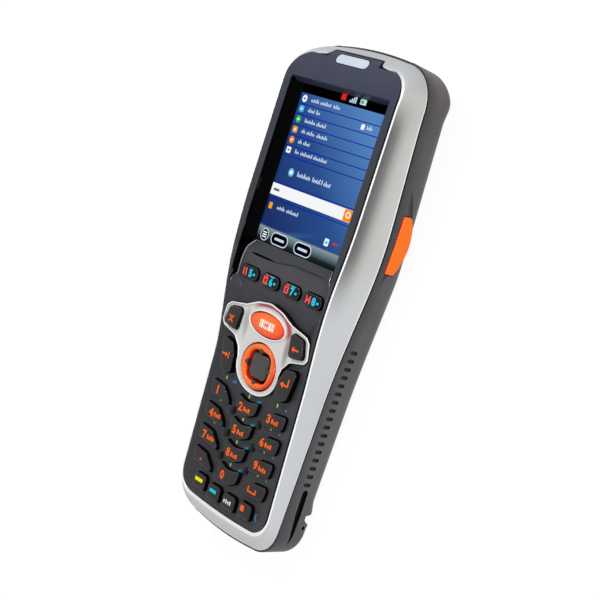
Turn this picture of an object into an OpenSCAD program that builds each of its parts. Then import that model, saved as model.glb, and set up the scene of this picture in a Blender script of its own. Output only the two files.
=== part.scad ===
// Portable barcode data terminal: a bar-shaped handheld with a touch screen, a keypad,
// a silver front frame and a dark rear housing.
// Frame: X to the right, Y from the connector end to the scan end, Z out of the face.
// The origin lies on the back, in the middle of the body's outline.

/* [Body] */
// Length of the head, from the screen's opening to the scan end
head_l = 15.6; // [15:0.1:17]
// Length of the foot, from the middle of the lowest keys to the connector end
foot_l = 12.9; // [12.5:0.1:14]
// Width of the rail on each side of the screen's opening
rail_w = 3.7; // [3.5:0.1:4.5]
// Width of the cheek beyond the middle of the outer columns of keys
cheek_w = 9.7; // [9.6:0.1:10.6]
// How far each side flares out from the front face down to the seam
side_flare = 2.3; // [1.8:0.1:3]
// Wall thickness of the shells
wall = 1.8; // [1.5:0.1:2.1]
// Thickness of the rear housing's floor
floor_t = 3.2; // [3:0.1:3.6]
// Height of the seam above the back, beside the keypad
seam_h = 13.7; // [13:0.1:14.2]
// How much higher the seam runs at the scan end
seam_rise = 6; // [5:0.25:6.5]
// How far the back lifts towards the scan end
head_lift = 5.6; // [4.5:0.1:6]
// Width of the dark reveal between the two shells
seam_gap = 0.15; // [0.1:0.01:0.2]

/* [Front face] */
// Height of the keypad floor above the back, at the navigation ring
keypad_z = 21.9; // [21.5:0.1:22.5]
// Slope of the keypad
keypad_tilt = 5; // [4:0.25:5.5]
// Slope of the screen
screen_tilt = 1.95; // [1.5:0.05:2.5]
// Thickness of the faceplate
plate_t = 1.6; // [1.4:0.1:1.8]
// Height of the rails above the touch window
rail_h = 4; // [3.5:0.1:4.3]
// Height of the silver lip's edge above the keypad floor
low_rim = 0.85; // [0.4:0.05:1.2]

/* [Screen] */
// Width of the opening over the screen
window_w = 50.4; // [49:0.2:51]
// Length of the opening over the screen
window_l = 58.4; // [57:0.2:60]
// Thickness of the touch window
glass_t = 1.2; // [0.8:0.1:1.6]
// Thickness of the display panel
panel_t = 2.5; // [2:0.1:3]

/* [Keys] */
// Length from the screen's opening to the middle of the navigation keys
panel_l = 40.6; // [40.4:0.2:43]
// Distance between the rows of number keys
row_pitch = 8.27; // [8.1:0.01:8.6]
// Distance of the outer columns from the middle one
column_x = 15.2; // [15:0.1:15.8]
// Travel of each key
key_travel = 0.8; // [0.5:0.05:0.9]
// Gap around a key in its hole
key_gap = 0.3; // [0.2:0.05:0.4]
// Height of the number keys above the keypad floor
digit_h = 1.7; // [1.2:0.1:2.2]

/* [Battery] */
// Width of the battery
battery_w = 37.6; // [36:0.2:38]
// Length of the battery
battery_l = 66; // [60:1:68]
// Thickness of the battery
battery_t = 7.2; // [6:0.1:7.4]
// Thickness of the battery cover
cover_t = 1.5; // [1.2:0.1:1.7]

/* [Side buttons] */
// Length of each side scan button
side_button_l = 20; // [18:0.5:22]
// Travel of each side scan button
side_travel = 0.6; // [0.4:0.1:0.8]
// How far each side scan button stands out
side_proud = 0.7; // [0.4:0.1:1]
// Number of grip slots on each side
grip_slots = 17; // [13:1:19]
// Distance between the grip slots
grip_pitch = 2.95; // [2.6:0.05:3.1]

/* [Fasteners] */
// Radius of the housing screws' thread
screw_r = 1; // [0.8:0.1:1.1]
// Radius of the strap pin
strap_pin_r = 1.1; // [0.9:0.1:1.3]
// Width of the strap pocket
strap_w = 16; // [14:1:18]

/* [Hidden] */
digit_drop = 13;
bottom_drop = digit_drop + 3 * row_pitch + 8.29;
body_l = head_l + window_l + panel_l + bottom_drop + foot_l;
face_head_w = window_w + 2 * rail_w;
face_low_w = 2 * (column_x + cheek_w);
end_y = body_l / 2;
fit_gap = 0.02;
loose_gap = 0.1;
cut = 1;

// Places along the length
screen_y = end_y - head_l - window_l / 2;
keypad_y = screen_y - window_l / 2 - panel_l;
face_lo = -end_y + 7.2;
face_hi = end_y - 6.1;
header_y = end_y - 18.6;
window_lo = screen_y - window_l / 2;
lens_y = end_y - 6.5;
strap_y = -end_y + 17.3;

// Corner radii of the outlines, seen from the front
face_r_lo = 8;
face_r_hi = 9.5;
seam_r_lo = 11;
seam_r_hi = 14;
lip = 0.7;

// Heights
glass_z = keypad_z + 3.55;
keypad_cos = cos(keypad_tilt);
key_top_of_plate = -plate_t * keypad_cos;
flange_t = 0.6;
flange_grow = 0.6;
flange_w = key_top_of_plate - 0.05 - flange_t;
board_w = -5;
board_t = 1.2;
mat_t = 0.4;
dome_w = flange_w - key_travel - 0.05;
tan_keypad = tan(keypad_tilt);
tan_screen = tan(screen_tilt);

// Battery bay and its cover
cover_l = battery_l + 13.4;
cover_w = battery_w + 2.6;
cover_gap = 0.1;
bay_lo = strap_y + 4.4;
bay_hi = bay_lo + cover_l;
bay_w = battery_w + 0.6;
battery_y = bay_lo + 3.4 + battery_l / 2;
tongue_x = 11;
tongue_w = 7;
tongue_l = 2.8;

// Connector at the keypad's end
io_w = 18;
io_h = 4.6;
io_z = 5.2;

// Colours
dark = [0.27, 0.27, 0.29];
rear_grey = [0.35, 0.34, 0.34];
silver = [0.78, 0.79, 0.8];
key_dark = [0.22, 0.22, 0.22];
orange = [1, 0.4, 0.08];
pale = [0.84, 0.84, 0.82];
green_board = [0.1, 0.36, 0.2];

DIGIT_ROWS = [
    [["key_1", "key_2", "key_3"], 0],
    [["key_4", "key_5", "key_6"], 1],
    [["key_7", "key_8", "key_9"], 2],
    [["key_point", "key_0", "key_space"], 3]
];
corner_x = column_x + 2.6;
wing_x = column_x + 1.4;
soft_pitch = 8.9;
function_pitch = 11.6;
digit_y = keypad_y - digit_drop;
nav_y = keypad_y + 1.2;
scan_y = keypad_y + 15.8;
function_y = keypad_y + 29.8;
bottom_y = keypad_y - bottom_drop;

// name, shape, x, y, mirrored, height above the keypad floor, colour
KEYS = concat(
    [for (row = DIGIT_ROWS, c = [0:2])
        [row[0][c], c == 1 ? "middle" : "outer", (c - 1) * column_x, digit_y - row[1] * row_pitch,
         c == 0, digit_h, key_dark]],
    [for (i = [0:3])
        [str("key_f", i + 1), "function", (i - 1.5) * function_pitch, function_y, false, 1.4, key_dark]],
    [["key_escape", "corner", -corner_x, scan_y - 2.2, true, 3.2, key_dark],
     ["key_erase", "corner", corner_x, scan_y - 2.2, false, 3.2, key_dark],
     ["key_tab", "wing", -wing_x, nav_y - 1.2, true, 2.3, key_dark],
     ["key_enter", "wing", wing_x, nav_y - 1.2, false, 2.3, key_dark],
     ["key_scan", "ellipse", 0, scan_y, false, 2.1, orange],
     ["key_yellow", "soft", -1.5 * soft_pitch, bottom_y + 0.5, false, 1.8, key_dark],
     ["key_blue", "soft", -0.5 * soft_pitch, bottom_y - 0.2, false, 1.8, key_dark],
     ["key_mode", "soft", 0.5 * soft_pitch, bottom_y - 0.2, false, 1.8, key_dark],
     ["key_power", "soft", 1.5 * soft_pitch, bottom_y + 0.5, false, 1.8, key_dark]]
);

// ---- Profiles -----------------------------------------------------------------------------

function mix(a, b, t) = a + (b - a) * t;
function smooth(t) = let (c = min(1, max(0, t))) c * c * (3 - 2 * c);

// Half width of the front face at a place along the length
function face_half(y) = mix(face_low_w, face_head_w, smooth((y - keypad_y + 2) / 62)) / 2;

// Height of the seam, the back, the keypad floor, the rails' rim and the face's edge
function seam_z(y) = seam_h + seam_rise * smooth((y - screen_y + 34) / 80)
    - 1.5 * smooth((-end_y + 12 - y) / 12);
function lift_start() = screen_y - 30;
function back_z(y) = let (run = y - lift_start(), full = end_y - 12 - lift_start())
    head_lift * (run <= 0 ? 0 : run < 10 ? run * run / 20 : run - 5) / full;
function floor_z(y) = keypad_z + tan_keypad * (y - keypad_y);
function rim_z(y) = glass_z + rail_h + tan_screen * (y - screen_y)
    - 0.017 * pow(max(0, y - header_y), 2);
function edge_z(y) = mix(floor_z(y) + low_rim, rim_z(y), smooth((y - keypad_y + 2) / 42));

// Height of the faceplate's top: flat in the middle, rising to the rim at the sides
function inner_z(y) = mix(floor_z(y), edge_z(y), smooth((y - window_lo - 0.5) / 6));
function face_z(x, y) = let (
        steep = smooth((y - keypad_y - 8) / 25),
        from = mix(0.7, 0.87, steep),
        to = mix(1, 0.93, steep))
    mix(inner_z(y), edge_z(y), smooth((abs(x) / face_half(y) - from) / (to - from)));

// ---- Outlines and lofts -------------------------------------------------------------------

end_n = 3;
corner_n = 6;
side_n = 14;

// Right half of a rounded outline, [half width, y], from the connector end to the scan end.
// dw widens the sides; the ends are bowed by bow.
function half_outline(lo, hi, r_lo, r_hi, bow, dw) =
    let (y_lo = lo + bow + r_lo, y_hi = hi - bow - r_hi,
         w_lo = face_half(lo + bow) + dw - r_lo, w_hi = face_half(hi - bow) + dw - r_hi)
    concat(
        [for (i = [0:end_n - 1]) let (s = i / end_n) [w_lo * s, lo + bow * s * s]],
        [for (i = [0:corner_n]) let (a = 90 * i / corner_n, y = y_lo - r_lo * cos(a))
            [face_half(y) + dw - r_lo * (1 - sin(a)), y]],
        [for (i = [1:side_n - 1]) let (y = mix(y_lo, y_hi, i / side_n)) [face_half(y) + dw, y]],
        [for (i = [0:corner_n]) let (a = 90 - 90 * i / corner_n, y = y_hi + r_hi * cos(a))
            [face_half(y) + dw - r_hi * (1 - sin(a)), y]],
        [for (i = [1:end_n]) let (s = 1 - i / end_n) [w_hi * s, hi - bow * s * s]]
    );

// A whole ring of points from its right half
function whole(half) = concat(half,
    [for (i = [len(half) - 2:-1:1]) [-half[i].x, half[i].y, half[i].z]]);

// Solid through rings of equal length, from the lowest to the highest; the end caps are
// strips across the width, so each ring's height may follow y.
module loft(rings) {
    n = len(rings[0]);
    m = len(rings);
    sides = [for (k = [0:m - 2], i = [0:n - 1]) let (j = (i + 1) % n)
        each [[k * n + i, (k + 1) * n + i, (k + 1) * n + j], [k * n + i, (k + 1) * n + j, k * n + j]]];
    top = (m - 1) * n;
    caps = [for (i = [1:n / 2 - 2]) each [[i, i + 1, n - i - 1, n - i],
        [top + n - i, top + n - i - 1, top + i + 1, top + i]]];
    tips = [[0, 1, n - 1], [n / 2 - 1, n / 2, n / 2 + 1],
        [top + n - 1, top + 1, top], [top + n / 2 + 1, top + n / 2, top + n / 2 - 1]];
    polyhedron([for (ring = rings) each ring], concat(sides, caps, tips));
}

// Outlines of the body: the lip round the face, the seam, the widest line of the rear
// housing and its flat back. d moves each one inwards.
lip_half = half_outline(face_lo - lip, face_hi + lip, face_r_lo, face_r_hi, 0.6, lip);
function seam_half(d) = half_outline(-end_y + d, end_y - d, seam_r_lo - d, seam_r_hi - d, 1,
    side_flare - d);
function mid_half(d) = half_outline(-end_y + 0.6 + d, end_y - 0.1 - d, seam_r_lo - d,
    seam_r_hi - d, 1, side_flare - 0.1 - d);
function round_r(y) = 5.5 + 3 * smooth((y - keypad_y + 2) / 62) - 4 * smooth((y - end_y + 17) / 8)
    - 1.5 * smooth((20 - end_y - y) / 8);
function back_half(d) = [for (p = half_outline(-end_y + 4.6 + d, end_y - 4.6 - d, 7 - d, 11 - d, 1, -d))
    [p.x + side_flare - round_r(p.y), p.y]];
function tidy_x(half) = [for (i = [0:len(half) - 1])
    [i == 0 || i == len(half) - 1 ? 0 : max(half[i].x, 0.4 * min(i, len(half) - 1 - i)), half[i].y]];

// Outside or inside of the rear housing, filled. d moves the walls inwards, rise lifts the
// floor, over lifts the open top.
module rear_form(d, rise, over) {
    back = tidy_x(back_half(d));
    mid = mid_half(d);
    seam = seam_half(d);
    curved = [for (a = [0:18:90]) whole([for (i = [0:len(mid) - 1])
        let (p = mix(back[i], mid[i], sin(a)))
        [p.x, p.y, back_z(p.y) + rise + round_r(p.y) * (1 - cos(a))]])];
    loft(concat(curved, [whole([for (p = seam) [p.x, p.y, seam_z(p.y) + over]])]));
}

// Faceplate outline as stations [y, half width], with the tab at the scan end
face_stations = concat(
    [for (i = [0:corner_n]) let (a = 90 * i / corner_n, y = face_lo + face_r_lo * (1 - cos(a)))
        [y, face_half(y) - face_r_lo * (1 - sin(a))]],
    [for (i = [1:21]) let (y = mix(face_lo + face_r_lo, face_hi - face_r_hi, i / 22))
        [y, face_half(y)]],
    [for (i = [0:corner_n]) let (a = 90 - 90 * i / corner_n, y = face_hi - face_r_hi * (1 - cos(a)))
        [y, face_half(y) - face_r_hi * (1 - sin(a))]],
    [[face_hi + 0.15, 14.6], [face_hi + 1.6, 14.2], [face_hi + 2.6, 12.6]]
);
face_columns = [-1, -0.97, -0.93, -0.9, -0.87, -0.78, -0.7, -0.35, 0,
    0.35, 0.7, 0.78, 0.87, 0.9, 0.93, 0.97, 1];

// Plate that follows the faceplate's top: from low to high above it, widened by grow
module face_form(low, high, grow) {
    rows = len(face_stations);
    cols = len(face_columns);
    function place(i, j, up) = let (s = face_stations[i],
            y = s.x + (i == 0 ? -grow : i == rows - 1 ? grow : 0),
            x = face_columns[j] * (s.y + grow))
        [x, y, face_z(x, y) + up];
    points = concat([for (i = [0:rows - 1], j = [0:cols - 1]) place(i, j, low)],
        [for (i = [0:rows - 1], j = [0:cols - 1]) place(i, j, high)]);
    half = rows * cols;
    skins = [for (i = [0:rows - 2], j = [0:cols - 2]) let (a = i * cols + j, b = a + cols)
        each [[a, a + 1, b + 1], [a, b + 1, b],
              [half + a, half + b + 1, half + a + 1], [half + a, half + b, half + b + 1]]];
    ends = [for (j = [0:cols - 2]) let (a = j, b = (rows - 1) * cols + j)
        each [[a, half + a, half + a + 1], [a, half + a + 1, a + 1],
              [b, b + 1, half + b + 1], [b, half + b + 1, half + b]]];
    flanks = [for (i = [0:rows - 2]) let (a = i * cols, b = a + cols - 1)
        each [[a, a + cols, half + a + cols], [a, half + a + cols, half + a],
              [b, half + b, half + b + cols], [b, half + b + cols, b + cols]]];
    polyhedron(points, concat(skins, ends, flanks));
}

// ---- Flat shapes --------------------------------------------------------------------------

function unit(v) = v / norm(v);

// Arc of radius r that rounds the corner p between a and b
function fillet(a, p, b, r) = let (
        u = unit(a - p), v = unit(b - p), half = acos(u * v) / 2,
        c = p + unit(u + v) * r / sin(half),
        s = p + u * r / tan(half) - c, e = p + v * r / tan(half) - c,
        from = atan2(s.y, s.x), turn = (atan2(e.y, e.x) - from + 540) % 360 - 180)
    [for (i = [0:4]) c + r * [cos(from + turn * i / 4), sin(from + turn * i / 4)]];

// Polygon moved outwards by g (points run anticlockwise)
function grown(pts, g) = let (n = len(pts)) [for (i = [0:n - 1])
    let (p = unit(pts[i] - pts[(i + n - 1) % n]), q = unit(pts[(i + 1) % n] - pts[i]),
         np = [p.y, -p.x], nq = [q.y, -q.x])
    pts[i] + (np + nq) * g / (1 + np * nq)];

// Polygon with corners rounded by radii rs, moved outwards by g
function rounded(pts, rs, g) = let (n = len(pts), big = grown(pts, g)) [for (i = [0:n - 1])
    each fillet(big[(i + n - 1) % n], big[i], big[(i + 1) % n],
        max(0.2, rs[i] + (turns_out(pts, i) ? g : -g)))];
function turns_out(pts, i) = let (n = len(pts), p = pts[i] - pts[(i + n - 1) % n],
    q = pts[(i + 1) % n] - pts[i]) p.x * q.y - p.y * q.x > 0;

function ellipse_points(a, b) = [for (t = [0:10:350]) [a * cos(t), b * sin(t)]];

// Outline of a key, widened by g
function key_points(shape, g) =
    shape == "outer" ? rounded([[-6, -3.3], [5.3, -1.8], [6.1, 3.3], [-1.4, 2.4], [-5.2, -0.9]],
        [0.7, 1.6, 1.2, 3, 1.6], g) :
    shape == "middle" ? rounded([[-5.3, -1.6], [0, -4.1], [5.3, -1.6], [6.1, 3.2], [0, 1.3], [-6.1, 3.2]],
        [2.2, 5, 2.2, 0.9, 8, 0.9], g) :
    shape == "function" ? rounded([[-4.7, -2.2], [4.7, -2.2], [4.7, 2.2], [-4.7, 2.2]],
        [1.9, 1.9, 1.9, 1.9], g) :
    shape == "corner" ? rounded([[-2.9, -4.3], [4.3, -3], [2.7, 3.2], [-4.3, 4.3]],
        [1.5, 1.5, 1.5, 1.5], g) :
    shape == "wing" ? rounded([[-4.3, -4.8], [-1.2, -6.1], [2.4, -4.5], [4.5, 6.3], [-2, 5], [-3.8, 1]],
        [0.9, 1.4, 1.6, 1.5, 2.2, 5], g) :
    shape == "ellipse" ? ellipse_points(9.5 + g, 4 + g) :
    rounded([[-3.5, -2.7], [3.5, -2.7], [3.5, 2.7], [-3.5, 2.7]], [1.5, 1.5, 1.5, 1.5], g);

ring_a = 9;
ring_b = 7.9;
ring_hole = [11.6, 10.8];
ok_gap = 0.9;
ok_size = [ring_hole.x - 2 * ok_gap, ring_hole.y - 2 * ok_gap];

function square_points(size, r, g) = rounded([[-size.x / 2, -size.y / 2], [size.x / 2, -size.y / 2],
    [size.x / 2, size.y / 2], [-size.x / 2, size.y / 2]], [r, r, r, r], g);

// Right half of the navigation plate, from its peak round to its foot
nav_half = concat(
    [[0, 23.6], [7, 22.3], [12.6, 19.8], [21, 18.2], [22.6, 16.9], [23.7, 11.2], [22.6, 9.6],
     [15.4, 7.5], [12.6, 4.9], [11.6, 2.2]],
    [for (a = [0:-10:-80]) [11.5 * cos(a), nav_y - keypad_y - 0.9 + 9 * sin(a)]]
);

// ---- Frames -------------------------------------------------------------------------------

// Children stand on the keypad floor, at [x, y] of the body
module on_keypad(x, y) {
    translate([x, y, floor_z(y)])
        rotate([keypad_tilt, 0, 0])
            children();
}

// Children stand on the touch window's top, from its middle
module on_screen() {
    translate([0, screen_y, glass_z])
        rotate([screen_tilt, 0, 0])
            children();
}

module both_sides() {
    children();
    mirror([1, 0, 0]) children();
}

module slab(size, z0, z1) {
    translate([-size.x / 2, -size.y / 2, z0])
        cube([size.x, size.y, z1 - z0]);
}

// Prism of a key's outline, between two heights above the keypad floor
module key_prism(k, g, w0, w1) {
    on_keypad(k[2], k[3])
        mirror([k[4] ? 1 : 0, 0, 0])
            translate([0, 0, w0])
                linear_extrude(w1 - w0)
                    polygon(key_points(k[1], g));
}

module ring_prism(g, w0, w1) {
    on_keypad(0, nav_y)
        translate([0, 0, w0])
            linear_extrude(w1 - w0)
                polygon(ellipse_points(ring_a + g, ring_b + g));
}

// ---- Fasteners ----------------------------------------------------------------------------

// y and distance in from the widest line
SCREWS = [[-end_y + 27, 3.8], [screen_y - 33.8, 5.4], [end_y - 21, 6.6]];
function screw_x(s) = face_half(s.x) + side_flare - s.y;
function screw_seat(s) = back_z(s.x) + 3.6;
boss_r = 2.5;
frame_boss_h = 3.2;

module at_screws() {
    for (s = SCREWS, side = [-1, 1])
        translate([side * screw_x(s), s.x, 0]) {
            $side = side;
            $seat = screw_seat(s);
            $joint = seam_z(s.x);
            children();
        }
}

module housing_screws() {
    color(silver)
        at_screws() {
            translate([0, 0, $seat - 1.2])
                difference() {
                    cylinder(h = 1.2, r = 1.8, $fn = 32);
                    translate([0, 0, -cut])
                        cylinder(h = cut + 0.6, r = 0.7, $fn = 6);
                }
            translate([0, 0, $seat])
                cylinder(h = $joint + frame_boss_h - 0.5 - $seat, r = screw_r, $fn = 24);
        }
}

// ---- Rear housing -------------------------------------------------------------------------

board_z = floor_t + 0.3 + battery_t + 0.5;
main_board_t = 1.2;
main_board_lo = keypad_y - 8;
main_board_hi = screen_y + 14;
post_r = 1.1;
MAIN_POSTS = [[bay_w / 2 + 0.2 + post_r, keypad_y - 5], [bay_w / 2 + 0.2 + post_r, keypad_y + 24],
    [17, screen_y + 10]];

scan_window_size = [27.6, 6.2];
scan_window_z = 13.9;
side_button_y = screen_y - 13.9;
side_button_z = 9.5;
side_face_x = face_half(side_button_y) + side_flare + side_proud;
flange_side = 0.9;
flange_seat = -side_proud - wall;

module grip_cuts() {
    slot_w = 1.1;
    slot_h = 2.8;
    slot_depth = 0.7;
    guide_l = 19;
    first_y = keypad_y + 17.6;
    for (i = [0:grip_slots - 1]) {
        y = first_y - i * grip_pitch;
        translate([face_half(y) + side_flare - slot_depth, y - slot_w / 2, seam_h - 5.3])
            cube([slot_depth + cut, slot_w, slot_h]);
    }
    // cradle guide groove, pointed towards the connector end
    translate([face_half(-end_y + 18) + side_flare - 1.2, -end_y + 27.3, seam_h - 5.2])
        rotate([90, 0, 90])
            linear_extrude(4)
                polygon([[0, -0.9], [0.7, -0.5], [0.9, 0], [0.7, 0.5], [0, 0.9],
                    [-guide_l + 5, 0.8], [-guide_l, 0.1], [-guide_l, -0.1], [-guide_l + 5, -0.8]]);
}

module speaker_slots() {
    for (i = [-2:2])
        translate([-6, screen_y - 1.8 + i * 2.4 - 0.5, -cut])
            cube([12, 1, 12]);
}

module rear_housing() {
    rib_t = 1.3;
    block_w = strap_w + 6;
    color(rear_grey)
        difference() {
            union() {
                difference() {
                    rear_form(0, 0, 0);
                    rear_form(wall, floor_t, 3);
                }
                // block round the strap pocket
                translate([-block_w / 2, strap_y - 5.5, 1])
                    cube([block_w, 9.7, 6]);
                // posts under the main board
                for (p = MAIN_POSTS)
                    both_sides()
                        translate([p.x, p.y, back_z(p.y) + floor_t - 0.5])
                            cylinder(h = board_z - back_z(p.y) - floor_t + 0.5, r = post_r, $fn = 24);
                // bosses round the screws
                intersection() {
                    at_screws()
                        translate([0, 0, $seat - 2])
                            cylinder(h = $joint - $seat + 1.95, r = boss_r, $fn = 32);
                    rear_form(0.5, 1, -0.05);
                }
                // ribs that back the side switches
                both_sides()
                    translate([side_face_x - 6.9, side_button_y - 9, floor_t - 1])
                        cube([rib_t, 18, 10]);
            }
            // battery bay and the cover's seat
            translate([-cover_w / 2 - cover_gap, bay_lo - cover_gap, -cut])
                cube([cover_w + 2 * cover_gap, cover_l + 2 * cover_gap, cut + cover_t + 0.05]);
            translate([-bay_w / 2, bay_lo + 2.4, -cut])
                cube([bay_w, cover_l - 4.8, floor_t + cut + 1]);
            both_sides()
                translate([tongue_x - tongue_w / 2 - 0.3, bay_hi - 3.5, cover_t])
                    cube([tongue_w + 0.6, tongue_l + 4.3, 6]);
            // strap groove, its pocket and the pin's seats
            translate([-40, strap_y - 1.7, -cut])
                cube([80, 3.4, 2.2 + cut]);
            translate([-strap_w / 2, strap_y - 3.2, -cut])
                cube([strap_w, 6.4, 4.8 + cut]);
            translate([-strap_w / 2 - 2.5, strap_y, 2.1])
                rotate([0, 90, 0])
                    cylinder(h = strap_w + 5, r = strap_pin_r + fit_gap, $fn = 32);
            // screws
            at_screws() {
                translate([0, 0, -cut])
                    cylinder(h = $seat + cut, r = 1.95, $fn = 32);
                cylinder(h = $joint + cut, r = screw_r + 0.1, $fn = 24);
            }
            both_sides() {
                grip_cuts();
                // window for the side scan button, with room for its flange inside
                side_prism(key_gap, -5, 4);
                side_prism(flange_side + key_gap, -5, flange_seat);
            }
            // window for the scanner
            translate([0, end_y - 9, scan_window_z])
                rotate([-90, 0, 0])
                    linear_extrude(12)
                        polygon(square_points(scan_window_size, 1.4, loose_gap));
            translate([-io_w / 2 - loose_gap, -end_y - cut, io_z - loose_gap])
                cube([io_w + 2 * loose_gap, 12, io_h + 2 * loose_gap]);
            speaker_slots();
        }
}

module strap_pin() {
    color(silver)
        translate([-strap_w / 2 - 2.4, strap_y, 2.1])
            rotate([0, 90, 0])
                cylinder(h = strap_w + 4.8, r = strap_pin_r, $fn = 32);
}

module battery_cover() {
    color(rear_grey) {
        translate([-cover_w / 2, bay_lo, 0])
            cube([cover_w, cover_l, cover_t]);
        // tongues that hook inside the housing at the hinge end
        both_sides() {
            translate([tongue_x - tongue_w / 2, bay_hi - 3, cover_t])
                cube([tongue_w, 2.9, 1.1]);
            translate([tongue_x - tongue_w / 2, bay_hi - 3, cover_t + 0.15])
                cube([tongue_w, 3 + tongue_l, 0.95]);
        }
    }
}

module battery_pack() {
    color([0.16, 0.16, 0.18])
        translate([-battery_w / 2, battery_y - battery_l / 2, cover_t + 0.3])
            cube([battery_w, battery_l, battery_t + floor_t - cover_t]);
}

// ---- Boards and modules inside ------------------------------------------------------------

module main_board() {
    color(green_board)
        difference() {
            translate([-21, main_board_lo, board_z])
                cube([42, main_board_hi - main_board_lo, main_board_t]);
            at_screws()
                translate([0, 0, board_z - cut])
                    cylinder(h = main_board_t + 2 * cut, r = boss_r + 0.4, $fn = 32);
        }
}

module shield_can() {
    can_l = 30;
    color(silver)
        translate([-16, screen_y - 20, board_z + main_board_t])
            cube([32, can_l, 2.4]);
}

module battery_contacts() {
    color([0.75, 0.6, 0.2])
        translate([-5, battery_y + battery_l / 2 + 0.2, cover_t + 3])
            cube([10, 3, board_z - cover_t - 3]);
}

engine_size = [24, 17, 6.6];

module scan_engine() {
    front_y = end_y - 6.4;
    color([0.15, 0.15, 0.16])
        difference() {
            translate([-engine_size.x / 2, front_y - engine_size.y, back_z(front_y) + floor_t + 0.15])
                cube(engine_size);
            translate([-5.5, front_y + cut, scan_window_z])
                rotate([90, 0, 0])
                    cylinder(h = 3 + cut, r = 2.4, $fn = 32);
            translate([5.5, front_y + cut, scan_window_z])
                rotate([90, 0, 0])
                    cylinder(h = 3 + cut, r = 1.6, $fn = 32);
        }
}

module scan_window() {
    color([0.25, 0.05, 0.07])
        translate([0, end_y - 3.2, scan_window_z])
            rotate([-90, 0, 0])
                linear_extrude(1.5)
                    polygon(square_points(scan_window_size, 1.4, 0));
}

module speaker() {
    speaker_r = 7.5;
    y = screen_y - 1.8;
    color([0.2, 0.2, 0.2])
        translate([0, y, back_z(y + speaker_r) + floor_t + 0.1])
            difference() {
                cylinder(h = 3.2, r = speaker_r, $fn = 48);
                translate([0, 0, -cut])
                    cylinder(h = cut + 0.6, r = speaker_r - 1, $fn = 48);
            }
}

module io_connector() {
    front_y = -end_y + 3.8;
    contacts = 10;
    color([0.12, 0.12, 0.13]) {
        translate([-io_w / 2, front_y, io_z])
            cube([io_w, 5.5, io_h]);
    }
    color([0.85, 0.7, 0.3])
        for (i = [0:contacts - 1])
            translate([-io_w / 2 + 1.6 + i * (io_w - 3.8) / (contacts - 1), front_y - 0.15, io_z + 1.2])
                cube([0.6, 0.15, io_h - 2.4]);
}

// Outline of a side scan button in y and z: straight above, bellied below
function side_points(g) = let (l = side_button_l / 2) rounded(
    [[-l, -1.4], [-l + 3.6, -2.8], [0, -3.5], [l - 3.6, -2.8], [l, -1.4], [l, 3], [-l, 3]],
    [1, 4, 12, 4, 1, 0.8, 0.8], g);

// Prism of the button's outline, widened by g, between two depths from its outer face
module side_prism(g, d0, d1) {
    translate([side_face_x + d0, side_button_y, side_button_z])
        rotate([90, 0, 90])
            linear_extrude(d1 - d0)
                polygon(side_points(g));
}

module side_button() {
    flange_d = flange_seat - 0.05;
    color(orange) {
        side_prism(0, flange_d - 0.3, -0.3);
        side_prism(-0.4, -0.35, 0);
        side_prism(flange_side, flange_d - 0.65, flange_d);
    }
}

module side_switch() {
    board_d = -5.6;
    tip_d = flange_seat - 0.7 - side_travel - 0.05;
    color(green_board)
        translate([side_face_x + board_d, side_button_y - 6.5, side_button_z - 1.9])
            cube([0.8, 13, 4]);
    color(silver)
        translate([side_face_x + board_d + 0.7, side_button_y, side_button_z])
            rotate([0, 90, 0])
                cylinder(h = tip_d - board_d - 0.7, r = 2, $fn = 32);
}

// ---- Front --------------------------------------------------------------------------------

// Share of the way from the seam to the lip: a flared skirt beside the screen, a rounded
// shoulder beside the keypad, upright walls with a rounded edge at both ends
function edge_share(t, n) = 1 - pow(1 - pow(t, n), 1 / n);
function flare_share(t, y) = let (
        beside = mix(pow(t, 1.4), 1 - pow(1 - t, 2.4), smooth((y - keypad_y + 2) / 40)))
    mix(mix(beside, edge_share(t, 2.2), smooth((9 - end_y - y) / 6)),
        edge_share(t, 2.2), smooth((y - end_y + 20) / 13));

module frame_form() {
    seam = seam_half(0);
    loft([for (t = [0, 0.15, 0.35, 0.55, 0.72, 0.86, 0.95, 1]) whole([for (i = [0:len(seam) - 1])
        let (p = mix(seam[i], lip_half[i], flare_share(t, seam[i].y)))
        [p.x, p.y, mix(seam_z(p.y) + seam_gap, edge_z(p.y), t)]])]);
}

module frame_cavity() {
    low = seam_half(wall + 0.5);
    high = [for (p = half_outline(face_lo + 2, face_hi - 2.6, face_r_lo - 2.6, face_r_hi - 2.6, 0.6, -2.6))
        [p.x + 1.3 * smooth((p.y - window_lo + 26) / 12) * min(1, p.x / 10), p.y]];
    loft([
        whole([for (p = low) [p.x, p.y, seam_z(p.y) - 2]]),
        whole([for (p = low) [p.x, p.y, seam_z(p.y) + 2.5]]),
        whole([for (p = high) [p.x, p.y, edge_z(p.y) - 3.4]]),
        whole([for (p = high) [p.x, p.y, edge_z(p.y) + 3]])
    ]);
}

module front_frame() {
    color(silver)
        difference() {
            union() {
                difference() {
                    frame_form();
                    frame_cavity();
                }
                // bosses for the housing screws, webbed to the wall
                intersection() {
                    at_screws()
                        translate([0, 0, $joint + seam_gap]) {
                            cylinder(h = frame_boss_h, r = boss_r - 0.2, $fn = 32);
                            translate([$side > 0 ? 0 : -6, -0.8, 0])
                                cube([6, 1.6, frame_boss_h]);
                        }
                    frame_form();
                    at_screws()
                        translate([0, 0, $joint])
                            slab([2 * (boss_r + 3.6), 2 * boss_r], 0, 8);
                }
            }
            face_form(-plate_t - 0.15, 8, 0.08);
            at_screws()
                cylinder(h = $joint + frame_boss_h + cut, r = screw_r + fit_gap, $fn = 24);
        }
}

panel_half = window_w / 2;
panel_h = 1.1;
ramp_l = 4.6;

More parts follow.
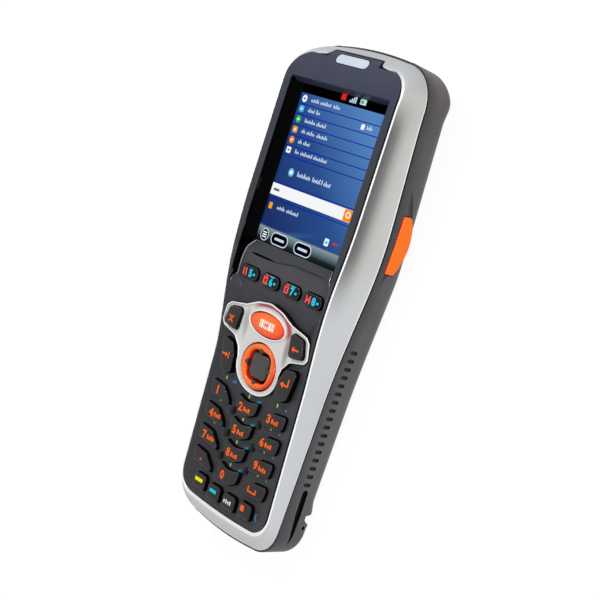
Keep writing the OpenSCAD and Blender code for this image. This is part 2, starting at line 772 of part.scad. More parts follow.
module function_panel_form() {
    // raised panel under the function keys, wider towards the keypad
    lo = function_y - 3.6;
    hi = window_lo - 0.4;
    on_keypad(0, function_y)
        difference() {
            translate([0, 0, -1])
                linear_extrude(panel_h + 1)
                    polygon(rounded([[-panel_half, lo - function_y], [panel_half, lo - function_y],
                        [panel_half - 0.2, lo - function_y + 5], [panel_half - 3, hi - function_y],
                        [-panel_half + 3, hi - function_y], [-panel_half + 0.2, lo - function_y + 5]],
                        [1.2, 1.2, 8, 0.6, 0.6, 8], 0));
            translate([-40, lo - function_y, 0])
                rotate([atan2(panel_h, hi - lo - 2), 0, 0])
                    cube([80, 30, 5]);
        }
}

KEYBOARD_POSTS = [[column_x + 4.4, keypad_y - 8.2], [column_x + 4.4, bottom_y + 1],
    [column_x + 4.8, keypad_y + 23.4]];

module key_holes(w0, w1) {
    for (k = KEYS)
        key_prism(k, key_gap, w0, w1);
    ring_prism(0.5, w0, w1);
}

module window_cut() {
    on_screen()
        translate([0, 0, -3])
            linear_extrude(14)
                polygon(square_points([window_w, window_l], 1.2, 0));
}

module lens_points_cut(g, z0, z1) {
    translate([0, lens_y, z0])
        linear_extrude(z1 - z0)
            polygon(square_points([16, 3.6], 1.7, g));
}

module faceplate() {
    skirt_w = 1;
    color(dark)
        difference() {
            union() {
                face_form(-plate_t, 0, 0);
                intersection() {
                    function_panel_form();
                    face_form(0.2 - plate_t, 6, -0.2);
                }
                // skirt down to the touch window
                intersection() {
                    on_screen()
                        translate([0, 0, 0])
                            linear_extrude(rail_h - 0.8)
                                polygon(square_points([window_w + 2 * skirt_w, window_l + 2 * skirt_w],
                                    1.6, 0));
                    face_form(-20, -0.4, -1.2);
                }
                // posts that carry the keypad board
                for (p = KEYBOARD_POSTS)
                    both_sides()
                        on_keypad(p.x, p.y)
                            translate([0, 0, board_w])
                                cylinder(h = -board_w - 0.4, r = 1, $fn = 24);
            }
            window_cut();
            // ramp between the touch window and the function panel
            translate([-panel_half + 2.2, window_lo + 0.5, glass_z + tan_screen * (window_lo - screen_y)])
                rotate([-atan2(panel_h + 0.5, ramp_l), 0, 0])
                    translate([0, -ramp_l - 1.2, 0])
                        cube([2 * panel_half - 4.4, ramp_l + 2, 6]);
            key_holes(-6, 9);
            nav_plate_prism(0.05, 0, 9);
            lens_points_cut(loose_gap, rim_z(lens_y) - 5, rim_z(lens_y) + 3);
        }
}

module touch_window() {
    color([0.05, 0.05, 0.06])
        on_screen()
            translate([0, 0.8, 0])
                slab([window_w + 1.6, window_l + 1.4], -glass_t, 0);
}

module display_panel() {
    color([0.1, 0.2, 0.4])
        on_screen()
            translate([0, 0.4, 0])
                slab([window_w - 2, window_l - 0.4], -glass_t - panel_t, -glass_t);
}

module indicator_lens() {
    color([0.8, 0.88, 0.95])
        intersection() {
            lens_points_cut(0, rim_z(lens_y) - 4, rim_z(lens_y) + 2);
            face_form(0.05 - plate_t, 0.25, 0);
        }
}

module nav_plate_prism(g, w0, w1) {
    left = [for (i = [len(nav_half) - 1:-1:1]) [-nav_half[i].x, nav_half[i].y]];
    foot = [0, nav_y - keypad_y - 9.9];
    on_keypad(0, keypad_y)
        translate([0, 0, w0])
            linear_extrude(w1 - w0)
                if (g > 0)
                    offset(delta = g) polygon(concat(nav_half, [foot], left));
                else
                    polygon(concat(nav_half, [foot], left));
}

module nav_plate() {
    wedge = 3.8;
    color(pale)
        difference() {
            nav_plate_prism(0, 0, 5);
            // top falls towards the number keys
            on_keypad(0, keypad_y + 21)
                rotate([wedge, 0, 0])
                    translate([-30, -60, 2.7])
                        cube([60, 80, 8]);
            key_holes(-1, 9);
        }
}

module nav_ring() {
    color(orange)
        difference() {
            union() {
                ring_prism(0, -2.75, 1.1);
                ring_prism(-0.5, 1, 1.5);
                ring_prism(1, -2.75, -2.25);
            }
            on_keypad(0, nav_y)
                translate([0, 0, -4])
                    linear_extrude(8)
                        polygon(square_points(ring_hole, 3, 0));
        }
}

module key_ok() {
    color(key_dark)
        on_keypad(0, nav_y) {
            translate([0, 0, -3.65])
                linear_extrude(0.38)
                    polygon(square_points(ring_hole, 3.2, 0.6));
            translate([0, 0, -3.4])
                linear_extrude(4)
                    polygon(square_points(ok_size, 2.4, 0));
            translate([0, 0, 0.5])
                linear_extrude(0.4)
                    polygon(square_points(ok_size, 2.4, -0.5));
        }
}

// Rocker frame under the ring: the ring rolls on its two end pads, and the frame pitches
// on the mat's two side bumps
module nav_gimbal() {
    color(silver)
        on_keypad(0, nav_y) {
            translate([0, 0, -3.85])
                linear_extrude(0.5)
                    difference() {
                        polygon(square_points([ring_hole.x + 6.8, ring_hole.y + 5.2], 3.4, 0));
                        polygon(square_points(ring_hole, 3.2, 1));
                    }
            for (side = [-1, 1])
                translate([-0.8, side * (ring_hole.y / 2 + 1.8) - 0.7, -3.5])
                    cube([1.6, 1.4, 0.65]);
        }
}

// ---- Keypad -------------------------------------------------------------------------------

board_half = column_x + 5.5;

module mat_outline(inset) {
    lo = bottom_y - 4.6 + inset;
    hi = function_y + 3.9 - inset;
    translate([-board_half + inset, (lo - keypad_y) / keypad_cos])
        square([2 * (board_half - inset), (hi - lo) / keypad_cos]);
}

module keypad_mat() {
    dome_r = 1.7;
    color([0.5, 0.5, 0.5]) {
        difference() {
            on_keypad(0, keypad_y)
                translate([0, 0, board_w])
                    linear_extrude(mat_t)
                        mat_outline(0.4);
            for (p = KEYBOARD_POSTS)
                both_sides()
                    on_keypad(p.x, p.y)
                        translate([0, 0, board_w - cut])
                            cylinder(h = 3, r = 1.2, $fn = 24);
        }
        for (k = KEYS)
            on_keypad(k[2], k[3])
                translate([0, 0, board_w])
                    cylinder(h = dome_w - board_w, r = dome_r, $fn = 24);
        on_keypad(0, nav_y) {
            translate([0, 0, board_w])
                cylinder(h = -3.65 - key_travel - 0.05 - board_w, r = dome_r, $fn = 24);
            for (side = [-1, 1])
                translate([side * (ring_hole.x / 2 + 2.3) - 0.7, -0.8, board_w])
                    cube([1.4, 1.6, -3.9 - board_w]);
        }
    }
}

module keypad_board() {
    color(green_board)
        on_keypad(0, keypad_y)
            translate([0, 0, board_w - board_t])
                linear_extrude(board_t)
                    mat_outline(0);
}

// One key: a cap with a stepped top and a flange that stops under the faceplate
module key(k) {
    top = k[5];
    color(k[6]) {
        key_prism(k, 0, flange_w, top - 0.35);
        key_prism(k, -0.4, top - 0.4, top);
        key_prism(k, flange_grow, flange_w, flange_w + flange_t);
    }
}

// ---- Assembly -----------------------------------------------------------------------------

rear_housing();
front_frame();
faceplate();
touch_window();
display_panel();
indicator_lens();
nav_plate();
nav_gimbal();
nav_ring();
key_ok();
keypad_mat();
keypad_board();
main_board();
shield_can();
battery_contacts();
scan_engine();
scan_window();
speaker();
battery_pack();
battery_cover();
housing_screws();
io_connector();
strap_pin();
side_button();  // side_button_right
mirror([1, 0, 0]) side_button();  // side_button_left
side_switch();  // side_switch_right
mirror([1, 0, 0]) side_switch();  // side_switch_left
for (k = KEYS)
    key(k);
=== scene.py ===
"""Looks of a portable barcode data terminal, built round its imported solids.

Shapes are worked out in millimetres and turned into metres when a mesh is made.
X runs to the right, Y towards the scan end, Z out of the face; the back lies on Z = 0.
"""

import math

import bmesh
import bpy
import numpy as np
from mathutils import Matrix, Vector


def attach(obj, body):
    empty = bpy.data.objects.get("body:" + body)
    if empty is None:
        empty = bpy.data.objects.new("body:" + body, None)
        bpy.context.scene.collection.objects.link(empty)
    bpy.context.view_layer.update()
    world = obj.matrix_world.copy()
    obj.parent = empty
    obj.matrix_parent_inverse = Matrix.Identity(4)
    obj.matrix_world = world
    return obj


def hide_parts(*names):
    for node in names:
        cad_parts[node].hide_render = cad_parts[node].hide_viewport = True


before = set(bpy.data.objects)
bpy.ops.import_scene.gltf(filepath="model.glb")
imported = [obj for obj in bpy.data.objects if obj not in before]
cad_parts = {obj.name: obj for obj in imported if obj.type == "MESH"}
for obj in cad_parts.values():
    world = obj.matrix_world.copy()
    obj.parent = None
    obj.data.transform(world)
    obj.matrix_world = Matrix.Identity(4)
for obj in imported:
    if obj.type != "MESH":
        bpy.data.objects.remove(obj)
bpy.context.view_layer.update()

# ---- Sizes of the terminal ----------------------------------------------------------------

MM = 0.001

# places along the body
END_Y, SCREEN_Y, KEYPAD_Y = 86.8, 42.0, -27.8
FACE_LO, FACE_HI = -79.6, 80.7
HEADER_Y, LENS_Y, STRAP_Y = 68.2, 80.3, -69.5
NAV_Y, SCAN_Y, FUNCTION_Y, DIGIT_Y, SOFT_Y = -26.6, -12.0, 2.0, -40.8, -73.9
ROW_PITCH, COLUMN_X = 8.27, 15.2

# face: its width grows from the keypad's to the screen's over WIDEN_RUN, and its edge climbs
# from the keypad to the rails over EDGE_RUN; both start START_GAP below the keypad's middle
KEYPAD_W, SCREEN_W, WIDEN_RUN, EDGE_RUN, START_GAP = 49.8, 57.8, 62, 42, 2
CORNER_LO, CORNER_HI = 8, 9.5
TAB_RISE = 2.62
GLASS_Z, KEYPAD_Z = 25.45, 21.9
KEYPAD_TILT, SCREEN_TILT = math.radians(5), math.radians(1.95)
FACE_RISE, RAIL_RISE, HEADER_BEND = 0.85, 4, 0.017
PLATE_T, BEAD, SHY = 1.6, 0.3, 0.07

# shells: the seam rises by SEAM_RISE over SEAM_RUN and drops a little at the foot
SIDE_FLARE, SEAM_GAP, WALL, FLOOR_T = 2.3, 0.15, 1.8, 3.2
SEAM_H, SEAM_FROM, SEAM_RISE, SEAM_RUN, SEAM_DROP = 13.7, 34, 6, 80, 1.5
BACK_RISE = 5.6

# window, display and what stands in the face
WINDOW_LO, WINDOW_HALF = 12.8, 25.2
RAIL_FOOT, RAIL_TOP = 25.02, 25.42
DISPLAY_X, DISPLAY_Y = 21.6, 28.8
SCAN_HALF, RING_HALF, RING_BED = (9.5, 4), (9, 7.9), (9.5, 8.4)
OK_SIZE, LENS_SIZE = (9.8, 9.0, 2.4), (16, 3.6, 1.7)
KEY_FOOT, KEY_GAP = -1.5, 0.3

# side buttons, scanner's opening and battery bay
SIDE_BUTTON_Y, SIDE_BUTTON_Z, SIDE_TILT = 28.1, 9.5, math.radians(2)
SCAN_WINDOW_Z = 13.9
BAY_LO, BAY_W, COVER_L, COVER_W, COVER_T = -65.1, 38.2, 79.4, 40.2, 1.5
BAY_Y, BAY_HI = BAY_LO + COVER_L / 2, BAY_LO + COVER_L


def smooth(t):
    """0 to 1 with level ends: three t squared less two t cubed."""
    c = np.clip(t, 0, 1)
    return c * c * (3 - 2 * c)


def mix(a, b, t):
    """Straight blend from a to b."""
    return a + (b - a) * t


def face_half(y):
    """Half width of the face: a smooth change from the keypad's width to the screen's."""
    return mix(KEYPAD_W, SCREEN_W, smooth((y - KEYPAD_Y + START_GAP) / WIDEN_RUN)) / 2


def seam_z(y):
    """Height of the line between the two shells: level, a smooth rise, a small drop at the foot."""
    rise = SEAM_RISE * smooth((y - SCREEN_Y + SEAM_FROM) / SEAM_RUN)
    return SEAM_H + rise - SEAM_DROP * smooth((12 - END_Y - y) / 12)


def back_z(y):
    """Height of the back: level, then a parabola that runs into a straight lift."""
    run = y - SCREEN_Y + 30
    full = END_Y - 12 - SCREEN_Y + 30
    return BACK_RISE * np.where(run <= 0, 0, np.where(run < 10, run * run / 20, run - 5)) / full


def floor_z(y):
    """Height of the keypad's plane."""
    return KEYPAD_Z + math.tan(KEYPAD_TILT) * (y - KEYPAD_Y)


def rim_z(y):
    """Height of the rails: the screen's slope, less a parabola past the header."""
    return (GLASS_Z + RAIL_RISE + math.tan(SCREEN_TILT) * (y - SCREEN_Y)
            - HEADER_BEND * np.maximum(0, y - HEADER_Y) ** 2)


def edge_z(y):
    """Height of the face's edge: from just above the keypad to the rails."""
    return mix(floor_z(y) + FACE_RISE, rim_z(y), smooth((y - KEYPAD_Y + START_GAP) / EDGE_RUN))


# ---- Outlines -----------------------------------------------------------------------------

ENDS, CORNERS, SIDES = 9, 14, 104


def half_outline(low, high, r_low, r_high, bow, widen):
    """Right half of a body outline: a bowed end, a quarter arc, a side that follows
    face_half, a quarter arc and a bowed end."""
    s = np.arange(ENDS) / ENDS
    turn = np.linspace(0, np.pi / 2, CORNERS + 1)
    y_low, y_high = low + bow + r_low, high - bow - r_high
    w_low = face_half(low + bow) + widen - r_low
    w_high = face_half(high - bow) + widen - r_high
    y_a = y_low - r_low * np.cos(turn)
    y_b = mix(y_low, y_high, np.arange(1, SIDES) / SIDES)
    y_c = y_high + r_high * np.cos(turn[::-1])
    e = 1 - np.arange(1, ENDS + 1) / ENDS
    x = [w_low * s, face_half(y_a) + widen - r_low * (1 - np.sin(turn)), face_half(y_b) + widen,
         face_half(y_c) + widen - r_high * (1 - np.sin(turn[::-1])), w_high * e]
    y = [low + bow * s * s, y_a, y_b, y_c, high - bow * e * e]
    return np.stack([np.concatenate(x), np.concatenate(y)], -1)


def whole(half):
    """A closed ring of points from its right half, mirrored in x."""
    back = half[-2:0:-1].copy()
    back[:, 0] *= -1
    return np.concatenate([half, back])


def seam_half(d):
    """Right half of the seam's outline, moved inwards by d."""
    return half_outline(d - END_Y, END_Y - d, 11 - d, 14 - d, 1, SIDE_FLARE - d)


def unit(v):
    """Vectors of length one."""
    return v / np.linalg.norm(v, axis=-1, keepdims=True)


def rounded(corners, radii, grow=0.0, steps=6, fill=3):
    """Polygon moved outwards by grow with an arc in each corner. The arc's centre lies on the
    corner's bisector, its radius over the sine of the half angle away; the straight runs
    between the arcs are split evenly."""
    pts = np.array(corners, float)
    p, q = unit(pts - np.roll(pts, 1, 0)), unit(np.roll(pts, -1, 0) - pts)
    n_p = np.stack([p[:, 1], -p[:, 0]], -1)
    n_q = np.stack([q[:, 1], -q[:, 0]], -1)
    big = pts + (n_p + n_q) * (grow / (1 + (n_p * n_q).sum(1)))[:, None]
    out = p[:, 0] * q[:, 1] - p[:, 1] * q[:, 0] > 0
    r = np.maximum(0.15, np.array(radii, float) + np.where(out, grow, -grow))
    u, v = unit(np.roll(big, 1, 0) - big), unit(np.roll(big, -1, 0) - big)
    half = np.arccos((u * v).sum(1)) / 2
    centre = big + unit(u + v) * (r / np.sin(half))[:, None]
    start = big + u * (r / np.tan(half))[:, None] - centre
    end = big + v * (r / np.tan(half))[:, None] - centre
    first = np.arctan2(start[:, 1], start[:, 0])
    turn = (np.arctan2(end[:, 1], end[:, 0]) - first + 3 * np.pi) % (2 * np.pi) - np.pi
    angle = first[:, None] + turn[:, None] * np.linspace(0, 1, steps + 1)
    arc = centre[:, None] + r[:, None, None] * np.stack([np.cos(angle), np.sin(angle)], -1)
    t = (np.arange(1, fill + 1) / (fill + 1))[None, :, None]
    run = mix(arc[:, -1:], np.roll(arc[:, :1], -1, 0), t)
    return np.concatenate([arc, run], 1).reshape(-1, 2)


def box_outline(w, l, r, grow=0.0, **more):
    """Rectangle of width w and length l with corners of radius r."""
    return rounded([[-w / 2, -l / 2], [w / 2, -l / 2], [w / 2, l / 2], [-w / 2, l / 2]], [r] * 4,
                   grow, **more)


def oval(a, b, count=64):
    """Ellipse with half axes a and b."""
    t = np.arange(count) * 2 * np.pi / count
    return np.stack([a * np.cos(t), b * np.sin(t)], -1)


def with_height(outline, height):
    """Points of a flat outline at one height."""
    return np.concatenate([outline, np.full((len(outline), 1), float(height))], 1)


# ---- Places -------------------------------------------------------------------------------


def on_keypad(points, x, y):
    """Turns points that stand on the keypad's plane at (x, y) into the body's frame."""
    c, s = math.cos(KEYPAD_TILT), math.sin(KEYPAD_TILT)
    px, py, pz = points.T
    return np.stack([px + x, py * c - pz * s + y, floor_z(y) + py * s + pz * c], -1)


def on_screen(points):
    """Turns points that stand on the touch window into the body's frame."""
    c, s = math.cos(SCREEN_TILT), math.sin(SCREEN_TILT)
    px, py, pz = points.T
    return np.stack([px, py * c - pz * s + SCREEN_Y, GLASS_Z + py * s + pz * c], -1)


def on_side(points, sign):
    """Turns points with x along the body, y up and z outwards onto a flank, whose width they
    follow; their long axis rises with the seam."""
    px, py, pz = points.T
    c, s = math.cos(SIDE_TILT), math.sin(SIDE_TILT)
    y = px * c - py * s + SIDE_BUTTON_Y
    z = px * s + py * c + SIDE_BUTTON_Z
    return np.stack([sign * (face_half(y) + SIDE_FLARE + pz), y, z], -1)


# ---- Meshes -------------------------------------------------------------------------------
# A solid is a pair: its points, and a list of (faces, material number).


def grid(rows, cols, close_rows=False, close_cols=False):
    """Quads between the neighbours of a rows by cols grid of points, counted row by row."""
    r = np.arange(rows if close_rows else rows - 1)[:, None]
    c = np.arange(cols if close_cols else cols - 1)[None, :]
    r2, c2 = (r + 1) % rows, (c + 1) % cols
    return np.stack([r * cols + c, r * cols + c2, r2 * cols + c2, r2 * cols + c], -1).reshape(-1, 4)


def stacked(rings, tips, skins=None):
    """Closed solid through equal rings, with a fan to a tip at either end. skins gives the
    material number of each band."""
    rings = np.array(rings)
    m, n = rings.shape[:2]
    points = np.concatenate([rings.reshape(-1, 3), np.array(tips, float).reshape(2, 3)])
    i = np.arange(n)
    j = (i + 1) % n
    bands = grid(m, n, close_cols=True).reshape(m - 1, n, 4)
    skins = np.zeros(m - 1, int) if skins is None else np.array(skins)
    faces = [(bands[skins == k].reshape(-1, 4), int(k)) for k in np.unique(skins)]
    faces.append((np.stack([j, i, np.full(n, m * n)], -1), int(skins[0])))
    top = (m - 1) * n
    faces.append((np.stack([top + i, top + j, np.full(n, m * n + 1)], -1), int(skins[-1])))
    return points, faces


def ring_solid(rows, skins=None):
    """Closed ring-shaped solid: rows of equal closed rings, the last one joined to the first."""
    rows = np.array(rows)
    m, n = rows.shape[:2]
    bands = grid(m, n, True, True).reshape(m, n, 4)
    skins = np.zeros(m, int) if skins is None else np.array(skins)
    faces = [(bands[skins == k].reshape(-1, 4), int(k)) for k in np.unique(skins)]
    return rows.reshape(-1, 3), faces


def prism(outline, low, high, skin=0, axes="xyz"):
    """Upright solid on a flat outline; axes names the body's axes that the outline's two
    directions and the height run along."""
    n = len(outline)
    points = np.concatenate([with_height(outline, low), with_height(outline, high)])
    points = points[:, [axes.index("x"), axes.index("y"), axes.index("z")]]
    i = np.arange(n)
    j = (i + 1) % n
    sides = np.stack([i, j, n + j, n + i], -1)
    return points, [(sides, skin), (i[None, ::-1], skin), ((n + i)[None], skin)]


def pad(outline, low, top, edge, crown, heart=(0, 0), wall=0, cap=0, rim_skin=None):
    """Closed pad: upright walls, a quarter round of radius edge, and a top that falls by crown
    times the square of the share of the way out. The inner half of the round may have a
    material of its own."""
    turn = np.linspace(0, np.pi / 2, 6)
    rim = top - crown
    rings = [with_height(outline(0.0), low)]
    rings += [with_height(outline(edge * (np.cos(a) - 1)), rim - edge + edge * np.sin(a))
              for a in turn]
    inner, centre = rings[-1][:, :2], np.array(heart, float)
    shares = [0.9, 0.75, 0.55, 0.35, 0.15]
    rings += [with_height(centre + (inner - centre) * s, top - crown * s * s) for s in shares]
    tips = [[*heart, low], [*heart, top]]
    rim_skin = cap if rim_skin is None else rim_skin
    return stacked(rings, tips, [wall] * 3 + [rim_skin] * 3 + [cap] * 5)


def moved(solid, place, *args):
    """A solid with its points put in place."""
    return place(solid[0], *args), solid[1]


def mirrored(solid):
    """A solid mirrored in the body's middle plane, its faces turned round to stay outward."""
    return solid[0] * [-1, 1, 1], [(f[:, ::-1], k) for f, k in solid[1]]


def make(name, solids, finishes, body="terminal", stands_for=(), cuts=(), joins=(),
         sharp=35.0, closed=True):
    """Puts solids into one mesh object in metres, cuts it, shades it smooth up to an angle, and
    hands it to the body that it moves with."""
    mesh = bpy.data.meshes.new(name)
    counts = np.cumsum([0] + [len(s[0]) for s in solids])
    runs = [(f + at, k) for s, at in zip(solids, counts) for f, k in s[1]]
    corners = np.concatenate([f.ravel() for f, _ in runs]).astype(np.int32)
    sizes = np.concatenate([np.full(len(f), f.shape[1]) for f, _ in runs])
    mesh.vertices.add(counts[-1])
    points = np.concatenate([s[0] for s in solids]) * MM
    mesh.vertices.foreach_set("co", points.astype(np.float32).ravel())
    mesh.loops.add(len(corners))
    mesh.loops.foreach_set("vertex_index", corners)
    mesh.polygons.add(len(sizes))
    starts = np.concatenate([[0], np.cumsum(sizes)[:-1]])
    skins = np.concatenate([np.full(len(f), k) for f, k in runs])
    mesh.polygons.foreach_set("loop_start", starts.astype(np.int32))
    mesh.polygons.foreach_set("material_index", skins.astype(np.int32))
    mesh.update(calc_edges=True)
    for finish in finishes:
        mesh.materials.append(finish)
    tidy(mesh, closed)
    piece = bpy.data.objects.new(name, mesh)
    bpy.context.scene.collection.objects.link(piece)
    for group in joins:
        combine(piece, group, "UNION", finishes)
    for group in cuts:
        combine(piece, group, "DIFFERENCE", finishes)
    mesh = piece.data
    mesh.name = name
    mesh.polygons.foreach_set("use_smooth", np.ones(len(mesh.polygons), bool))
    mesh.set_sharp_from_angle(angle=math.radians(sharp))
    if body is None:
        return piece
    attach(piece, body)
    if stands_for:
        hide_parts(*stands_for)
    return piece


def tidy(mesh, closed):
    """Merges doubled points, drops flat faces and points the faces outwards."""
    bm = bmesh.new()
    bm.from_mesh(mesh)
    bmesh.ops.remove_doubles(bm, verts=bm.verts, dist=2e-6)
    bmesh.ops.dissolve_degenerate(bm, dist=1e-7, edges=bm.edges)
    if closed:
        bmesh.ops.recalc_face_normals(bm, faces=bm.faces)
    bm.to_mesh(mesh)
    bm.free()


def combine(piece, solids, operation, finishes):
    """Joins solids to a piece or takes them away, and keeps the result as the piece's mesh."""
    tool = make("tool", solids, finishes, body=None)
    step = piece.modifiers.new("combine", "BOOLEAN")
    step.operation, step.solver, step.object = operation, "EXACT", tool
    graph = bpy.context.evaluated_depsgraph_get()
    mesh = bpy.data.meshes.new_from_object(piece.evaluated_get(graph))
    piece.modifiers.clear()
    piece.data = mesh
    bpy.data.objects.remove(tool)


# ---- Finishes -----------------------------------------------------------------------------


def srgb(code):
    """Linear colour of a hex code: the display curve undone, channel by channel."""
    c = np.array([int(code[i:i + 2], 16) for i in (1, 3, 5)]) / 255
    return (*np.where(c <= 0.04045, c / 12.92, ((c + 0.055) / 1.055) ** 2.4).tolist(), 1.0)


class Finish:
    """A material under construction: its nodes, and short ways to add and join them. Patterns
    read the piece's own coordinates."""

    def __init__(self, name, rough, **sockets):
        self.material = bpy.data.materials.new(name)
        self.material.use_nodes = True
        self.tree = self.material.node_tree
        self.shader = self.tree.nodes["Principled BSDF"]
        self.shader.inputs["Roughness"].default_value = rough
        for socket, value in sockets.items():
            label = socket.replace("_", " ").title().replace("Ior", "IOR")
            self.shader.inputs[label].default_value = value
        self.place = self.add("ShaderNodeTexCoord").outputs["Object"]

    def add(self, kind, **settings):
        """A new node with its settings."""
        node = self.tree.nodes.new(kind)
        for key, value in settings.items():
            setattr(node, key, value)
        return node

    def join(self, output, target):
        """A link from one socket to another."""
        self.tree.links.new(output, target)

    def math(self, operation, a, b=0.0, c=0.0):
        """One arithmetic step on sockets or numbers."""
        node = self.add("ShaderNodeMath", operation=operation)
        for value, target in zip((a, b, c), node.inputs):
            if isinstance(value, (int, float)):
                target.default_value = value
            else:
                self.join(value, target)
        return node.outputs[0]

    def product(self, *factors):
        """All factors multiplied."""
        found = factors[0]
        for factor in factors[1:]:
            found = self.math("MULTIPLY", found, factor)
        return found

    def rest(self, value):
        """What is left up to 1."""
        return self.math("SUBTRACT", 1.0, value)

    def squares(self, u, v):
        """Sum of two squares."""
        return self.math("ADD", self.product(u, u), self.product(v, v))

    def noise(self, scale, detail=3.0):
        """Soft random pattern on the piece's own coordinates; scale counts per metre."""
        node = self.add("ShaderNodeTexNoise")
        node.inputs["Scale"].default_value = scale
        node.inputs["Detail"].default_value = detail
        self.join(self.place, node.inputs["Vector"])
        return node.outputs["Fac"]

    def axis(self, letter):
        """One coordinate of the piece, in millimetres."""
        node = self.add("ShaderNodeSeparateXYZ")
        self.join(self.place, node.inputs[0])
        return self.math("MULTIPLY", node.outputs[letter], 1000.0)

    def ramp(self, fac, stops):
        """Colour by position: stops are (place, hex code)."""
        node = self.add("ShaderNodeValToRGB")
        elements = node.color_ramp.elements
        while len(elements) < len(stops):
            elements.new(0.5)
        for element, (place, code) in zip(elements, stops):
            element.position = place
            element.color = srgb(code)
        self.join(fac, node.inputs["Fac"])
        return node.outputs["Color"]

    def blend(self, fac, a, b):
        """Mixes two colours."""
        node = self.add("ShaderNodeMix", data_type="RGBA")
        for value, target in ((fac, node.inputs[0]), (a, node.inputs[6]), (b, node.inputs[7])):
            if isinstance(value, bpy.types.NodeSocket):
                self.join(value, target)
            else:
                target.default_value = srgb(value) if isinstance(value, str) else value
        return node.outputs[2]

    def step(self, value, low, high):
        """0 below low, 1 above high, with a smooth step between."""
        node = self.add("ShaderNodeMapRange", interpolation_type="SMOOTHSTEP")
        for target, number in zip(node.inputs[1:3], (low, high)):
            target.default_value = number
        self.join(value, node.inputs[0])
        return node.outputs[0]

    def spread(self, fac, low, high):
        """Stretches a 0.3 to 0.7 pattern over low to high."""
        node = self.add("ShaderNodeMapRange")
        for target, value in zip(node.inputs[1:5], (0.3, 0.7, low, high)):
            target.default_value = value
        self.join(fac, node.inputs[0])
        return node.outputs[0]

    def colour(self, socket):
        """The surface's own colour."""
        self.join(socket, self.shader.inputs["Base Color"])

    def worn(self, cloud, low, high):
        """Roughness that wanders from low to high with the clouds."""
        self.join(self.spread(cloud, low, high), self.shader.inputs["Roughness"])

    def bump(self, height, strength, depth=0.00003):
        """Relief from a pattern; depth in metres."""
        node = self.add("ShaderNodeBump")
        node.inputs["Strength"].default_value = strength
        node.inputs["Distance"].default_value = depth
        self.join(height, node.inputs["Height"])
        self.join(node.outputs[0], self.shader.inputs["Normal"])


# scale per metre and detail of the soft clouds and of the eroded skin
CLOUDS, SKIN = (70.0, 4.0), (2600.0, 2.0)
DIM = {"specular_ior_level": 0.14}


def plastic(name, light, deep, rough, grain=0.3, size=SKIN[0], wear=0.05, **sockets):
    """Moulded plastic: two close tones in soft clouds, a fine eroded grain, and roughness that
    wanders a little."""
    f = Finish(name, rough, **sockets)
    cloud = f.noise(*CLOUDS)
    fine = f.noise(size, SKIN[1])
    f.colour(f.ramp(f.math("MULTIPLY_ADD", fine, 0.25, f.product(cloud, 0.75)),
                    [(0.35, deep), (0.65, light)]))
    f.worn(cloud, rough - wear, rough + wear)
    if grain:
        f.bump(fine, grain)
    return f.material


# near-black and dark grey for the walls of openings, slots, grooves, channels and the seam: painted
# shade where these recesses fall dark
recess_shade_black = plastic("recess_shade_black", "#09090A", "#040405", 0.6, grain=0.2, **DIM)
recess_shade_grey = plastic("recess_shade_grey", "#262526", "#1E1D1E", 0.5, grain=0.3, **DIM)


def along(f, stops):
    """Colour by the place along the body: stops are (y in millimetres, hex code)."""
    span = 180
    return f.ramp(f.math("MULTIPLY_ADD", f.axis("Y"), 1 / span, 0.5),
                  [(y / span + 0.5, code) for y, code in stops])


def shaded_plastic(name, stops, rough, grain, seam=0.0, **sockets):
    """Moulded plastic whose tone changes along the body, with soft clouds and an eroded skin. A
    share of seam paints shade on it just below the line between the shells, darkest at the line."""
    f = Finish(name, rough, **sockets)
    cloud, fine = f.noise(*CLOUDS), f.noise(*SKIN)
    tone = along(f, stops)
    # painted shade just below the seam, clearing over 5.5 mm
    if seam:
        start = SCREEN_Y - SEAM_FROM
        rise = f.step(f.axis("Y"), start, start + SEAM_RUN)
        line = f.math("MULTIPLY_ADD", rise, SEAM_RISE, SEAM_H)
        under = f.step(f.math("SUBTRACT", line, f.axis("Z")), 0.0, 5.5)
        tone = f.blend(f.product(f.rest(under), seam), tone, "#1C1C1D")
    f.colour(f.blend(f.spread(cloud, 0.0, 0.16), tone, "#1A1A1C"))
    f.worn(cloud, rough - 0.05, rough + 0.05)
    f.bump(fine, grain)
    return f.material


# rear housing: tone along the body, with painted shade under the seam at half strength
rear_grey = shaded_plastic("rear_grey", [
    (-86, "#545155"), (-50, "#5E5C5F"), (-10, "#5A585B"), (40, "#545253"), (70, "#555251"),
    (86, "#5E5A57")], 0.5, 0.5, seam=0.5, specular_ior_level=0.3)
face_dark = shaded_plastic("face_charcoal", [
    (-84, "#3F3F43"), (-60, "#37373B"), (-30, "#36383D"), (-4, "#3C3C41"), (3, "#47454B"),
    (8.4, "#49474D"), (10.2, "#373A41"), (50, "#383A42"), (68, "#35394B"), (84, "#3A3F50")],
    0.36, 0.25, **DIM)
key_rim = plastic("key_rim", "#2C2B2B", "#242323", 0.16, grain=0.0, specular_ior_level=0.3)
pad_black = plastic("pad_black", "#060607", "#030304", 0.14, grain=0.0, specular_ior_level=0.16)
gloss_black = plastic("gloss_black", "#050506", "#020203", 0.12, grain=0.0, wear=0.03, **DIM)
key_satin = plastic("key_satin", "#343231", "#2B2929", 0.34, grain=0.3, size=3400, **DIM)
key_side = plastic("key_side", "#060606", "#030303", 0.16, grain=0.0, wear=0.04, **DIM)


